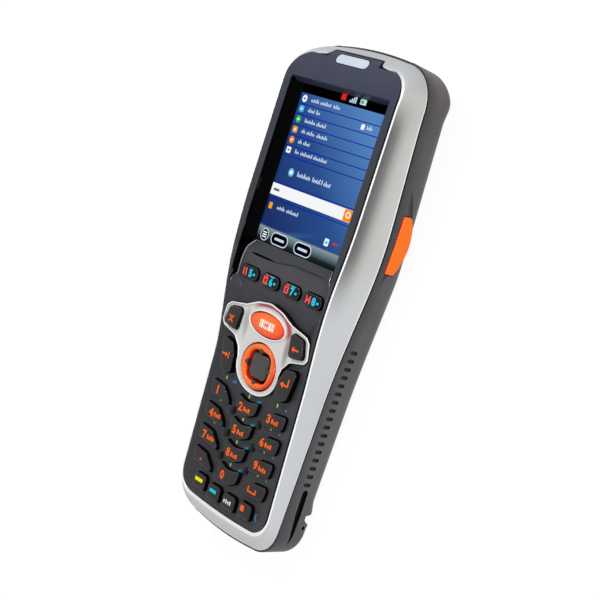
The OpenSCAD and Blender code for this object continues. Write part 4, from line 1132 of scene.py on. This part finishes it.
def backdrop(f):
    """Deep blue low on the left to a lighter blue high on the right, with a soft wave of light
    across its foot."""
    x, y = f.axis("X"), f.axis("Y")
    climb = f.math("ADD", f.math("MULTIPLY_ADD", y, 0.012, f.product(x, 0.014)), -0.02)
    base = f.ramp(climb, [(0.0, "#122C66"), (0.45, "#22498A"), (0.95, "#5082BE")])
    wave = f.math("SUBTRACT", y, f.product(f.math("SINE", f.product(x, 0.11)), 2.4))
    off = f.math("ABSOLUTE", f.math("SUBTRACT", wave, 20.0))
    crest = f.math("MAXIMUM", f.rest(f.product(off, 0.75)), 0.0)
    return f.blend(f.product(crest, f.step(x, 12.0, -20.0), 0.45), base, "#5C97D6")


def menu_bar(f):
    """Bar at the foot: teal grey fading to black downwards."""
    share = f.product(f.math("SUBTRACT", f.axis("Y"), 13.2), 1 / 5.6)
    return f.ramp(share, [(0.0, "#060A0A"), (0.3, "#141E20"), (0.5, "#4A5A5E"), (0.95, "#7F979C")])


LIT = {name: shown(code, "lit_" + name) for name, code in {
    "black": "#020203", "line": "#0C1F9C", "text": "#C9D8F0", "white": "#F4F6F8",
    "green": "#35C23C", "amber": "#F7A11C", "red": "#D8262C", "sky": "#57B7E8",
    "grey": "#5F6F74", "orange": "#FF8A10"}.items()}
LIT["backdrop"] = shown_blend("lit_backdrop", backdrop)
LIT["menu"] = shown_blend("lit_menu", menu_bar)


def lit(outline, colour, level):
    """A thin lit shape on the display; later levels lie above earlier ones."""
    skin = list(LIT).index(colour)
    return moved(prism(outline, 0.01, 0.03 + 0.02 * level, skin), on_screen)


def bar(x0, x1, y0, y1, r=0.0):
    """Rectangle between two corners, in millimetres, with round corners where there is room."""
    w, l = x1 - x0, y1 - y0
    outline = box_outline(w, l, min(r, w * 0.49, l * 0.49), steps=4, fill=0) if r else np.array(
        [[-w / 2, -l / 2], [w / 2, -l / 2], [w / 2, l / 2], [-w / 2, l / 2]])
    return outline + [(x0 + x1) / 2, (y0 + y1) / 2]


def disc(x, y, r, count):
    """Round sign about a point."""
    return oval(r, r, count) + [x, y]


def band(low, high):
    """Strip across the whole display."""
    return bar(-DISPLAY_X, DISPLAY_X, low, high)


def words(x, y, lengths, tall=1.15):
    """A line of writing reduced to groups of small upright bars, one group for each word; every
    third bar or so is taller, as in print."""
    pitch, thick = 0.72, 0.46
    found = []
    for length in lengths:
        for i in range(max(1, round(length / pitch))):
            high = tall * (1.0, 0.72, 1.25, 0.75, 0.72)[(i + round(length * 3)) % 5]
            left = x + i * pitch
            found.append(lit(bar(left, left + thick, y, y + high, 0.12), "text", 1))
        x += length + 0.8
    return found


MENU_Y = -26.0
RULES = (20.5, 16.9, 13.2, 9.4, 5.7, 2.2, -7.5, -13.3)
# y of each row, the colour of its sign, and the lengths of its words
LINES = [(22.2, "white", [4.2, 6.0, 3.4]), (18.6, "sky", [3.6, 2.4]), (14.9, "green", [5.6, 5.2]),
         (11.2, "amber", [2.0, 4.6, 5.4]), (7.5, "orange", [2.0, 3.6]),
         (3.9, "white", [2.2, 6.2, 7.0])]


def screen_picture():
    """A plain status screen: a black bar, ruled rows with a sign and some words each, a white
    entry field, and a dark menu bar with a ring and two pills."""
    picture = [lit(band(-DISPLAY_Y, DISPLAY_Y), "backdrop", 0),
               lit(band(24.4, DISPLAY_Y), "black", 1),
               lit(band(-DISPLAY_Y, -23.2), "menu", 1), lit(band(-23.35, -23.1), "grey", 2)]
    picture += [lit(band(y - 0.16, y + 0.16), "line", 1) for y in RULES]
    # level bars, a cell and a red sign in the black bar
    picture += [lit(bar(3.0 + i * 0.9, 3.6 + i * 0.9, 25.4, 26.2 + 0.6 * i), "text", 2)
                for i in range(4)]
    picture += [lit(bar(8.2, 11.2, 25.6, 27.5, 0.4), "text", 2),
                lit(bar(8.6, 10.0, 25.95, 27.15, 0.2), "green", 3),
                lit(bar(-1.4, 1.0, 25.5, 27.6, 0.3), "red", 2)]
    for k, (y, colour, lengths) in enumerate(LINES):
        outline = [disc(-19.2, y + 0.3, 1.25, 24), bar(-20.4, -18.0, y - 0.8, y + 1.4, 0.5)][k % 2]
        dash = "line" if colour == "white" else "white"
        picture += [lit(outline, colour, 1),
                    lit(bar(-19.8, -18.6, y + 0.05, y + 0.55, 0.2), dash, 2),
                    *words(-15.6, y - 0.25, lengths)]
    # a tick box in the second row, and a round sign with a longer line
    picture += [lit(bar(12.2, 13.9, 17.9, 19.7, 0.3), "white", 1), *words(15.0, 18.3, [3.2]),
                lit(disc(-14.2, -2.9, 1.5, 24), "sky", 1),
                lit(disc(-14.2, -2.9, 0.8, 20), "white", 2),
                *words(-10.8, -3.6, [7.4, 4.0, 0.5, 3.6], 1.4)]
    # entry field with a round sign at its end
    picture += [lit(band(-12.1, -8.0), "white", 1),
                lit(bar(17.3, 21.5, -12.0, -8.1, 0.2), "orange", 2),
                lit(bar(-20.4, -17.2, -10.6, -9.7, 0.3), "grey", 2),
                lit(disc(19.4, -9.8, 1.15, 20), "white", 3),
                lit(disc(19.4, -9.8, 0.65, 20), "orange", 4)]
    # last row, and the small signs over the menu bar
    picture += [lit(bar(-20.2, -18.4, -17.0, -14.8, 0.3), "amber", 1),
                *words(-15.6, -16.4, [4.4, 6.2]),
                lit(bar(12.4, 14.6, -21.9, -19.4, 0.4), "white", 1),
                lit(bar(12.9, 14.1, -21.2, -20.2, 0.2), "sky", 2),
                lit(bar(16.6, 19.0, -20.6, -19.9, 0.2), "red", 1)]
    for x in (-9.3, 3.4):
        picture += [lit(bar(x - 4.6, x + 4.6, -28.2, -23.8, 2.1), "text", 2),
                    lit(bar(x - 4.2, x + 4.2, -27.8, -24.2, 1.8), "black", 3),
                    lit(bar(x - 2.6, x + 2.6, -26.5, -25.6, 0.4), "text", 4)]
    picture += [lit(disc(-17.6, MENU_Y, 2.2, 32), "text", 2),
                lit(disc(-17.6, MENU_Y, 1.85, 32), "black", 3)]
    picture += [lit(bar(-18.7, -16.5, MENU_Y + d - 0.22, MENU_Y + d + 0.22, 0.1), "white", 4)
                for d in (-0.8, 0, 0.8)]
    return picture


make("screen_picture", screen_picture(), list(LIT.values()))

window_gloss = Finish("window_gloss", 0.05, base_color=srgb("#030304"), coat_weight=1.0,
                      coat_roughness=0.02)
window_gloss.worn(window_gloss.noise(60.0, 2.0), 0.035, 0.07)

# ---- Keys ---------------------------------------------------------------------------------


def number(text, tall, place, bold, skin=0):
    """Plain digits as a thin solid: the built-in letter shapes, scaled to a height and centred."""
    curve = bpy.data.curves.new("number", "FONT")
    curve.body, curve.extrude, curve.offset, curve.resolution_u = text, 0.05, bold, 3
    holder = bpy.data.objects.new("number", curve)
    bpy.context.scene.collection.objects.link(holder)
    graph = bpy.context.evaluated_depsgraph_get()
    mesh = bpy.data.meshes.new_from_object(holder.evaluated_get(graph))
    mesh.calc_loop_triangles()
    points = np.zeros(len(mesh.vertices) * 3, np.float32)
    mesh.vertices.foreach_get("co", points)
    faces = np.zeros(len(mesh.loop_triangles) * 3, np.int32)
    mesh.loop_triangles.foreach_get("vertices", faces)
    bpy.data.objects.remove(holder)
    bpy.data.meshes.remove(mesh)
    points = points.reshape(-1, 3).astype(float)
    low, high = points.min(0), points.max(0)
    size = tall / (high[1] - low[1])
    flat = (points[:, :2] - (low + high)[:2] / 2) * size + place
    level = np.where(points[:, 2] > 0, 1.0, 0.0)
    return np.column_stack([flat, level]), [(faces.reshape(-1, 3), skin)]


def sign(outline, skin=0):
    """A flat sign of unit thickness from its outline."""
    return prism(np.array(outline, float), 0, 1, skin)


def stroke(points, width):
    """A bent line of even width: its points moved to both sides along the mitred normals."""
    p = np.array(points, float)
    d = unit(np.diff(p, axis=0))
    n = np.stack([-d[:, 1], d[:, 0]], -1)
    mitre = (n[:-1] + n[1:]) / (1 + (n[:-1] * n[1:]).sum(1))[:, None]
    side = np.concatenate([n[:1], mitre, n[-1:]])
    return np.concatenate([p - side * width / 2, (p + side * width / 2)[::-1]])


def arrow(x, y, reach, toward, head, width):
    """A shaft with a triangular head."""
    tip = x + toward * reach / 2
    neck = tip - toward * head
    tail = x - toward * reach / 2
    pts = [[tail, y - width / 2], [neck, y - width / 2], [neck, y - head * 0.8], [tip, y],
           [neck, y + head * 0.8], [neck, y + width / 2], [tail, y + width / 2]]
    return sign(pts if toward > 0 else pts[::-1])


def ticks(x, y, count):
    """Small upright blocks beside a digit, every other one a little lower."""
    pitch = 1.25 if count < 4 else 1.05
    return [sign(bar(x + i * pitch, x + (i + 0.72) * pitch, y, y + 1.6 * tall, 0.2))
            for i, tall in zip(range(count), (1, 0.7, 1, 0.8))]


def power_sign(r, skin):
    """An open ring with an upright bar."""
    width = 0.42
    t = np.radians(np.linspace(125, 415, 28))
    return [sign(stroke(np.stack([r * np.cos(t), r * np.sin(t)], -1), width), skin),
            sign(bar(-width / 2, width / 2, 0.2, r + 0.5), skin)]


DIGITS = {"1": (-1.3, 0.3), "4": (-1.4, 0.2), "7": (-1.9, 0.0), "2": (-2.4, -0.9),
          "5": (-2.4, -0.9), "8": (-2.4, -0.9), "0": (-2.2, -0.9), "3": (-2.2, 0.2),
          "6": (-2.2, 0.2), "9": (-2.2, 0.2)}
# finishes of the signs on keys that aren't orange
KEY_INKS = {f"key_f{i}": [legend_coral, legend_cyan] for i in range(1, 5)}
KEY_INKS.update(key_yellow=[legend_yellow], key_blue=[legend_cyan], key_mode=[legend_white])


def key_signs():
    """Flat signs on each key, with the numbers of their finishes."""
    width = 0.6
    found = {
        "key_point": [sign(disc(-0.3, -0.4, 0.42, 16))],
        "key_space": [sign(stroke([[-2.6, 0.9], [-2.6, -0.7], [1.4, -0.7], [1.4, 0.9]], 0.55))],
        "key_escape": [sign(stroke([[-1.2, -2.0], [1.0, 0.4]], width)),
                       sign(stroke([[-1.2, 0.4], [1.0, -2.0]], width))],
        "key_erase": [arrow(0.2, -0.8, 3.6, -1, 1.3, width)],
        "key_tab": [arrow(-0.5, 0.2, 3.2, 1, 1.2, width), sign(bar(1.3, 1.8, -1.0, 1.4))],
        "key_enter": [sign(stroke([[1.7, 2.6], [1.7, 0.2], [-0.6, 0.2]], width)),
                      sign([[-2.2, 0.2], [-0.5, -0.9], [-0.5, 1.3]])],
        "key_yellow": [sign(bar(-2.1, 2.1, -0.1, 1.15, 0.25))],
        "key_blue": [sign(bar(-1.8, 1.8, -0.1, 1.1, 0.25))],
        "key_mode": [sign(bar(-2.2 + i * 1.1, -1.6 + i * 1.1, -0.6, 0.5 + 0.3 * (i % 2), 0.1))
                     for i in range(4)],
        "key_power": [sign(box_outline(2.0, 2.0, 0.4, fill=0) + [-0.9, 0.6])]}
    for d, (x, y) in DIGITS.items():
        blocks = [] if d in "01" else ticks(x + 1.7, y - 1.0, 4 if d in "79" else 3)
        found["key_" + d] = [number(d, 3.1, (x, y), 0.035), *blocks]
    for i in range(1, 5):
        signs = [number(str(i), 2.8, (-1.5, -0.1), 0.045),
                 number(str(i + 4), 2.8, (1.0, -0.1), 0.045, 1),
                 sign(bar(-3.2, -2.5, -1.5, 1.2, 0.1)), sign(bar(2.5, 3.5, -0.6, 0.2, 0.1), 1)]
        if i in (2, 3):
            signs += [sign(bar(-2.6, -0.6, 1.5, 1.9, 0.1)), sign(bar(0.0, 2.2, 1.5, 1.9, 0.1), 1)]
        found[f"key_f{i}"] = signs
    return found


def laid(signs, thick, place, *args):
    """Signs of unit thickness pressed to a real one: foot below the surface, face just above."""
    low, high = thick
    return [moved((np.column_stack([p[:, :2], mix(low, high, p[:, 2])]), f), place, *args)
            for p, f in signs]


signs_on = key_signs()
for name, (form, x, y, flip, top) in KEYS.items():
    heart = np.array(KEY_FORMS[form][2]) * ([-1, 1] if flip else [1, 1])
    skin = pad_black if form == "function" else key_satin
    edge = 0.5 if top > 1.5 else 0.4
    cap = pad(lambda g: key_outline(form, flip, g), KEY_FOOT, top, edge, 0.16, heart, 1, 0, 2)
    make(name + "_cap", [moved(cap, on_keypad, x, y)], [skin, key_side, key_rim], name, [name])
    make(name + "_legend", laid(signs_on[name], (top - 0.25, top + 0.02), on_keypad, x, y),
         KEY_INKS.get(name, [legend_orange]), name)

scan_cap = pad(scan_oval, KEY_FOOT, 2.3, 0.75, 0.45, (0, 0), 1)
make("key_scan_cap", [moved(scan_cap, on_keypad, 0, SCAN_Y)], [scan_orange, orange_wall_shade],
     "key_scan", ["key_scan"])
stripes = [(-3.6, 0.5), (-2.7, 0.9), (-1.4, 0.4), (-0.6, 0.7), (0.5, 0.4), (1.3, 1.0),
           (2.7, 0.5), (3.5, 0.4)]
stripes = [sign(bar(left, left + wide, -1.4, 1.4, 0.1)) for left, wide in stripes]
make("key_scan_legend", laid(stripes, (1.8, 2.29), on_keypad, 0, SCAN_Y), [legend_white],
     "key_scan")

# marks printed on the keypad's floor: a green one and a blue pair above each digit, and a blue
# open ring at the lower right; then the raised lozenges between the columns


def floor_marks():
    """Printed marks, laid just above the floor."""
    found = []

    def printed(signs, x, y):
        found.extend(laid(signs, (-0.1, 0.03), on_keypad, x, y))

    columns = ((-15.4, -11.2, 5.2), (-1.2, 3.9, 3.1), (13.7, 18.6, 5.2))
    for row in range(4):
        for column, (green_x, blue_x, above) in enumerate(columns):
            if (row, column) != (3, 0):
                y = DIGIT_Y + above - row * ROW_PITCH
                printed([sign(bar(-0.3, 0.3, -0.6, 0.6, 0.1))], green_x, y)
                printed([sign(bar(-0.6, 0.6, -0.5, 0.0, 0.1), 1),
                         sign(bar(0.8, 1.3, -0.5, 0.6, 0.1), 1)], blue_x, y)
    printed(power_sign(1.15, 1), 19.2, -73.6)
    return found


def lozenge(grow):
    """A raised lozenge's outline."""
    return rounded([[-1.1, -1.8], [1.2, -0.9], [1.1, 1.8], [-1.2, 0.9]], [0.5] * 4, grow)


make("floor_marks", floor_marks(), [legend_green, legend_blue])
lozenges = [moved(pad(lozenge, -0.3, 0.75, 0.4, 0.2), on_keypad, x, y)
            for x in (-7.4, 7.4) for y in (-44.9, -53.1, -61.4)]
make("floor_lozenges", lozenges, [pad_black])

# ---- Navigation block ---------------------------------------------------------------------


NAV_SLOPE = math.tan(math.radians(3.8))
NAV_FOOT, NAV_BED = -0.4, 0.48
NAV_HEART = np.array([0, 12.0])


def nav_top(p):
    """Height of the navigation plate over the keypad's plane: a slow fall towards the digits."""
    return 2.7 + (p[:, 1] - 21) * NAV_SLOPE


def nav_solid():
    """Rings from the foot of the wall, over a raised rounded rim, to a shallow bed that closes
    on a point that sees the whole outline. The wall is near-black, painted shade round the plate."""
    foot = nav_outline(0.0)
    rows = [with_height(foot, NAV_FOOT)]
    for grow, lift in ((0.0, -0.25), (-0.05, -0.1), (-0.12, 0.0), (-0.28, 0.05), (-0.42, 0.0),
                       (-0.52, -0.18), (-0.6, -0.4), (-1.3, -NAV_BED)):
        outline = nav_outline(grow)
        rows.append(np.column_stack([outline, nav_top(outline) + lift]))
    for s in (0.88, 0.72, 0.5, 0.25):
        outline = mix(NAV_HEART, nav_outline(-1.3), s)
        rows.append(np.column_stack([outline, nav_top(outline) - NAV_BED - 0.2 * (1 - s)]))
    top = float(nav_top(NAV_HEART[None])[0]) - NAV_BED - 0.2
    return stacked(rows, [[*NAV_HEART, NAV_FOOT], [*NAV_HEART, top]], [2] + [1] * 5 + [0] * 6)


def nav_pale():
    """Pale lacquered plate: soft grey streaks beside the scan key, and a blurred dark red arc
    beyond it where the orange key mirrors itself."""
    f = Finish("nav_pale", 0.22, coat_weight=0.4, coat_roughness=0.08)
    x, y = f.axis("X"), f.axis("Y")
    cloud = f.noise(60.0)
    base = f.ramp(cloud, [(0.3, "#CFCDCA"), (0.7, "#D9D7D4")])

    def away(middle, half_x, half_y):
        """How far out a spot lies from a middle, along each axis as a share of a half axis."""
        return (f.math("DIVIDE", f.math("ADD", x, -middle[0]), half_x),
                f.math("DIVIDE", f.math("ADD", y, -middle[1]), half_y))

    def streak(middle, strength):
        """Oval that fades from its middle to its edge with the square of the way out."""
        near = f.rest(f.squares(*away(middle, 1.7, 6.5)))
        return f.product(f.math("MAXIMUM", near, 0.0), strength)

    streaks = f.math("ADD", streak((-11.3, -14.5), 0.55), streak((12.2, -18.0), 0.75))
    shade = f.blend(streaks, base, "#6E6C6C")
    u, v = away((0.6, -11.4), 10.9, 5.6)
    off = f.math("ABSOLUTE", f.math("SUBTRACT", f.math("SQRT", f.squares(u, v)), 1.02))
    upper = f.product(f.math("MULTIPLY_ADD", x, 0.055, v), 1.3)
    arc = [f.math("MINIMUM", f.math("MAXIMUM", part, 0.0), 1.0)
           for part in (f.rest(f.product(off, 6.0)), upper)]
    arc = f.math("MINIMUM", f.product(*arc, 1.7), 1.0)
    f.colour(f.blend(arc, shade, "#A8262A"))
    f.worn(cloud, 0.18, 0.26)
    return f.material


nav_rim = plastic("nav_rim", "#F7F7F6", "#EDEDEC", 0.25, grain=0.0)
nav_holes = key_cutters(-3, 9, 0) + [ring_bed(-3, 9, 0)]
make("nav_panel", [moved(nav_solid(), on_keypad, 0, KEYPAD_Y)], [nav_pale(), nav_rim, recess_shade_black],
     stands_for=["nav_plate"], cuts=[nav_holes], sharp=34)


def scan_rim():
    """Thin pale lip round the scan key's hole: a small round section carried round an oval."""
    rows = []
    for a in np.linspace(0, 2 * np.pi, 9)[:-1]:
        out = 0.45 + 0.25 * np.cos(a)
        outline = oval(SCAN_HALF[0] + out, SCAN_HALF[1] + out, 72)
        z = nav_top(outline + [0, SCAN_Y - KEYPAD_Y]) - 0.45 + 0.3 * np.sin(a)
        rows.append(on_keypad(np.column_stack([outline, z]), 0, SCAN_Y))
    return ring_solid(rows)


make("scan_rim", [scan_rim()], [nav_rim])


def round_square(half_x, half_y, power, t):
    """Rounded square by angle: the superellipse's radius in each direction."""
    c, s = np.cos(t), np.sin(t)
    r = (np.abs(c / half_x) ** power + np.abs(s / half_y) ** power) ** (-1 / power)
    return np.stack([r * c, r * s], -1)


def ring_rows():
    """Section of the navigation ring carried round: up the outer wall, over a rounded crest,
    down a dished top to the square hole. Each step of the section is a share of the way from
    the outside to the hole, and a height."""
    t = np.arange(96) * 2 * np.pi / 96
    outer = oval(*RING_HALF, 96)
    hole = round_square(5.8, 5.4, 3.6, t)
    section = [(0.0, -2.3), (0.0, 0.45), (0.02, 0.8), (0.07, 1.1), (0.15, 1.35), (0.27, 1.5),
               (0.42, 1.5), (0.6, 1.38), (0.78, 1.18), (0.9, 1.0), (0.96, 0.85), (1.0, 0.6),
               (1.0, -2.3)]
    return [on_keypad(with_height(mix(outer, hole, k), z), 0, NAV_Y) for k, z in section]


make("ring_cap", [ring_solid(ring_rows(), [1, 1] + [0] * 8 + [1] * 3)], [ring_orange, orange_wall_shade],
     "nav_ring", ["nav_ring"])


def ring_notch(angle, reach):
    """Small triangle at the hole's edge, turned to point outwards."""
    c, s = math.cos(math.radians(angle)), math.sin(math.radians(angle))
    corners = [[reach - 0.3, -1.3], [reach + 1.7, 0], [reach - 0.3, 1.3]]
    return sign(rounded(corners, [0.15] * 3, steps=2, fill=0) @ np.array([[c, s], [-s, c]]))


violet = plastic("ring_mark", "#2A2030", "#201826", 0.35, grain=0.0)
notches = [ring_notch(*spot) for spot in ((90, 5.15), (-90, 5.15), (0, 5.55), (180, 5.55))]
make("ring_marks", laid(notches, (0.5, 1.36), on_keypad, 0, NAV_Y), [violet], "nav_ring")
ok_grey = plastic("ok_grey", "#3C3A39", "#343231", 0.34, grain=0.25, size=3400,
                  specular_ior_level=0.4)
ok_cap = pad(lambda g: box_outline(*OK_SIZE, g), -3.0, 0.85, 1.0, 0.1, wall=1)
make("key_ok_cap", [moved(ok_cap, on_keypad, 0, NAV_Y)], [ok_grey, key_side], "key_ok",
     ["key_ok"])

# ---- Sides, lens, back --------------------------------------------------------------------

lens = pad(lambda g: box_outline(*LENS_SIZE, g), -1.4, 0.22, 0.35, 0.1, wall=1)
lens_tilt = math.atan(math.tan(SCREEN_TILT) - 2 * HEADER_BEND * (LENS_Y - HEADER_Y))
lens_z = float(rim_z(np.array(LENS_Y)))


def at_lens(points):
    """Puts points on the header's slope at the lens."""
    px, py, pz = points.T
    c, s = math.cos(lens_tilt), math.sin(lens_tilt)
    return np.stack([px, LENS_Y + py * c - pz * s, lens_z + py * s + pz * c], -1)


make("lens_cap", [moved(lens, at_lens)], [lens_pale, lens_edge], stands_for=["indicator_lens"])

button = pad(side_outline, -4.0, 0.45, 0.45, 0.15, (0, -0.4), 1)
dot = pad(lambda g: oval(0.75 + g, 1.25 + g, 24), -0.3, 0.62, 0.3, 0.1)
dots = [(dot[0] + [x, 0.1, 0], dot[1]) for x in (-4.2, -1.2, 1.8, 4.8)]
for side, sx in (("right", 1), ("left", -1)):
    name = f"side_button_{side}"
    make(f"side_{side}_cap", [moved(solid, on_side, sx) for solid in (button, *dots)],
         [orange_bright, orange_wall_shade], name, [name])

cover = pad(lambda g: box_outline(COVER_W, COVER_L, 1.15, g), -COVER_T, 0, 0.3, 0.0)
cover = (cover[0] * [1, 1, -1] + [0, BAY_Y, 0], cover[1])
tongues = both(block(7.5, 14.5, BAY_HI - 3, BAY_HI + 2.8, COVER_T + 0.15, COVER_T + 1.1))
roots = both(block(7.5, 14.5, BAY_HI - 3, BAY_HI - 0.1, COVER_T - 0.1, COVER_T + 0.2))
# grip grooves with near-black walls: painted shade
grips = [prism(box_outline(16 - abs(i) * 2, 0.9, 0.4) + [0, BAY_LO + 8 + i * 1.9], -1, 0.5, 1)
         for i in range(-2, 3)]
make("cover_plate", [cover, *tongues, *roots], [rear_grey, recess_shade_black], "battery_cover",
     ["battery_cover"], cuts=[grips])


def finish_nodes(material, *names):
    """Gives CAD nodes that keep their own shape a finish."""
    for name in names:
        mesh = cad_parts[name].data
        mesh.materials.clear()
        mesh.materials.append(material)


finish_nodes(window_gloss.material, "touch_window")
finish_nodes(module_black, "display_panel", "scan_engine", "speaker", "battery_pack",
             "io_connector")
finish_nodes(steel, "nav_gimbal", "shield_can", "housing_screws", "strap_pin")
finish_nodes(mat_rubber, "keypad_mat")
finish_nodes(board_green, "keypad_board", "main_board", "side_switch_right", "side_switch_left")
finish_nodes(brass, "battery_contacts")
finish_nodes(scan_red, "scan_window")

# ---- Stage, light and camera --------------------------------------------------------------


def pale_floor():
    """White floor that a camera above it sees, with a faint share of real shading so that the
    shadow stays. It lets every other ray through."""
    material = bpy.data.materials.new("pale_floor")
    material.use_nodes = True
    tree = material.node_tree
    tree.nodes.clear()
    new, link = tree.nodes.new, tree.links.new
    path, shape = new("ShaderNodeLightPath"), new("ShaderNodeNewGeometry")
    above = new("ShaderNodeMath")
    above.operation = "SUBTRACT"
    link(path.outputs["Is Camera Ray"], above.inputs[0])
    link(shape.outputs["Backfacing"], above.inputs[1])
    lit_floor, glow = new("ShaderNodeBsdfDiffuse"), new("ShaderNodeEmission")
    lit_floor.inputs["Color"].default_value = (1, 1, 1, 1)
    glow.inputs["Strength"].default_value = 1.06
    shaded = new("ShaderNodeMixShader")
    shaded.inputs[0].default_value = 0.86
    link(lit_floor.outputs[0], shaded.inputs[1])
    link(glow.outputs[0], shaded.inputs[2])
    clear, last = new("ShaderNodeBsdfTransparent"), new("ShaderNodeMixShader")
    link(above.outputs[0], last.inputs[0])
    link(clear.outputs[0], last.inputs[1])
    link(shaded.outputs[0], last.inputs[2])
    link(last.outputs[0], new("ShaderNodeOutputMaterial").inputs["Surface"])
    return material


FLOOR_HALF = 1500
floor_points = with_height(bar(-FLOOR_HALF, FLOOR_HALF, -FLOOR_HALF, FLOOR_HALF), -0.05)
floor = make("floor", [(floor_points, [(np.array([[0, 1, 2, 3]]), 0)])], [pale_floor()], body=None,
             closed=False)


def studio():
    """White world at half strength for the object's own light, and at full strength where a
    camera, a mirror or a clear piece looks at it."""
    world = bpy.data.worlds.new("studio")
    world.use_nodes = True
    tree = world.node_tree
    back = tree.nodes["Background"]
    back.inputs["Color"].default_value = (1, 1, 1, 1)
    rays = tree.nodes.new("ShaderNodeLightPath")
    seen = rays.outputs["Is Camera Ray"]
    for kind in ("Is Glossy Ray", "Is Transmission Ray"):
        either = tree.nodes.new("ShaderNodeMath")
        either.operation = "MAXIMUM"
        tree.links.new(seen, either.inputs[0])
        tree.links.new(rays.outputs[kind], either.inputs[1])
        seen = either.outputs[0]
    level = tree.nodes.new("ShaderNodeMapRange")
    for target, value in zip(level.inputs[1:5], (0.0, 1.0, 0.5, 1.0)):
        target.default_value = value
    tree.links.new(seen, level.inputs[0])
    tree.links.new(level.outputs[0], back.inputs["Strength"])
    return world


bpy.context.scene.world = studio()


def lamp(name, place, aim, size, power):
    """A square soft lamp at a place, turned to a point, in millimetres and watts."""
    data = bpy.data.lights.new(name, "AREA")
    data.size, data.energy = size * MM, power
    holder = bpy.data.objects.new(name, data)
    holder.location = Vector(place) * MM
    holder.rotation_euler = (Vector(aim) - Vector(place)).to_track_quat("-Z", "Y").to_euler()
    bpy.context.scene.collection.objects.link(holder)


LAMP_AIM = (0, 0, 15)
lamp("key_lamp", (-150, 320, 430), LAMP_AIM, 90, 1.15)
lamp("fill_lamp", (430, 40, 230), LAMP_AIM, 160, 1.1)
lamp("glint_lamp", (90, 420, 300), LAMP_AIM, 14, 0.08)

CAMERA_LENS, CAMERA_SENSOR = 83.12, 36
CAMERA_PLACE = Vector((347.3, 40.44, 335.0))
CAMERA_AIM = Vector((9.880, 0.255, 24.0))
CAMERA_UP = Vector((-0.28575, 0.93956, 0.18862))
ahead = (CAMERA_AIM - CAMERA_PLACE).normalized()
right = ahead.cross(CAMERA_UP).normalized()
camera = bpy.data.objects.new("camera", bpy.data.cameras.new("camera"))
camera.data.lens, camera.data.sensor_width = CAMERA_LENS, CAMERA_SENSOR
camera.data.clip_start, camera.data.clip_end = 0.01, 20
turn = Matrix((right, right.cross(ahead), -ahead)).transposed()
camera.matrix_world = Matrix.Translation(CAMERA_PLACE * MM) @ turn.to_4x4()
bpy.context.scene.collection.objects.link(camera)
bpy.context.scene.camera = camera
bpy.context.scene.view_settings.view_transform = "Standard"
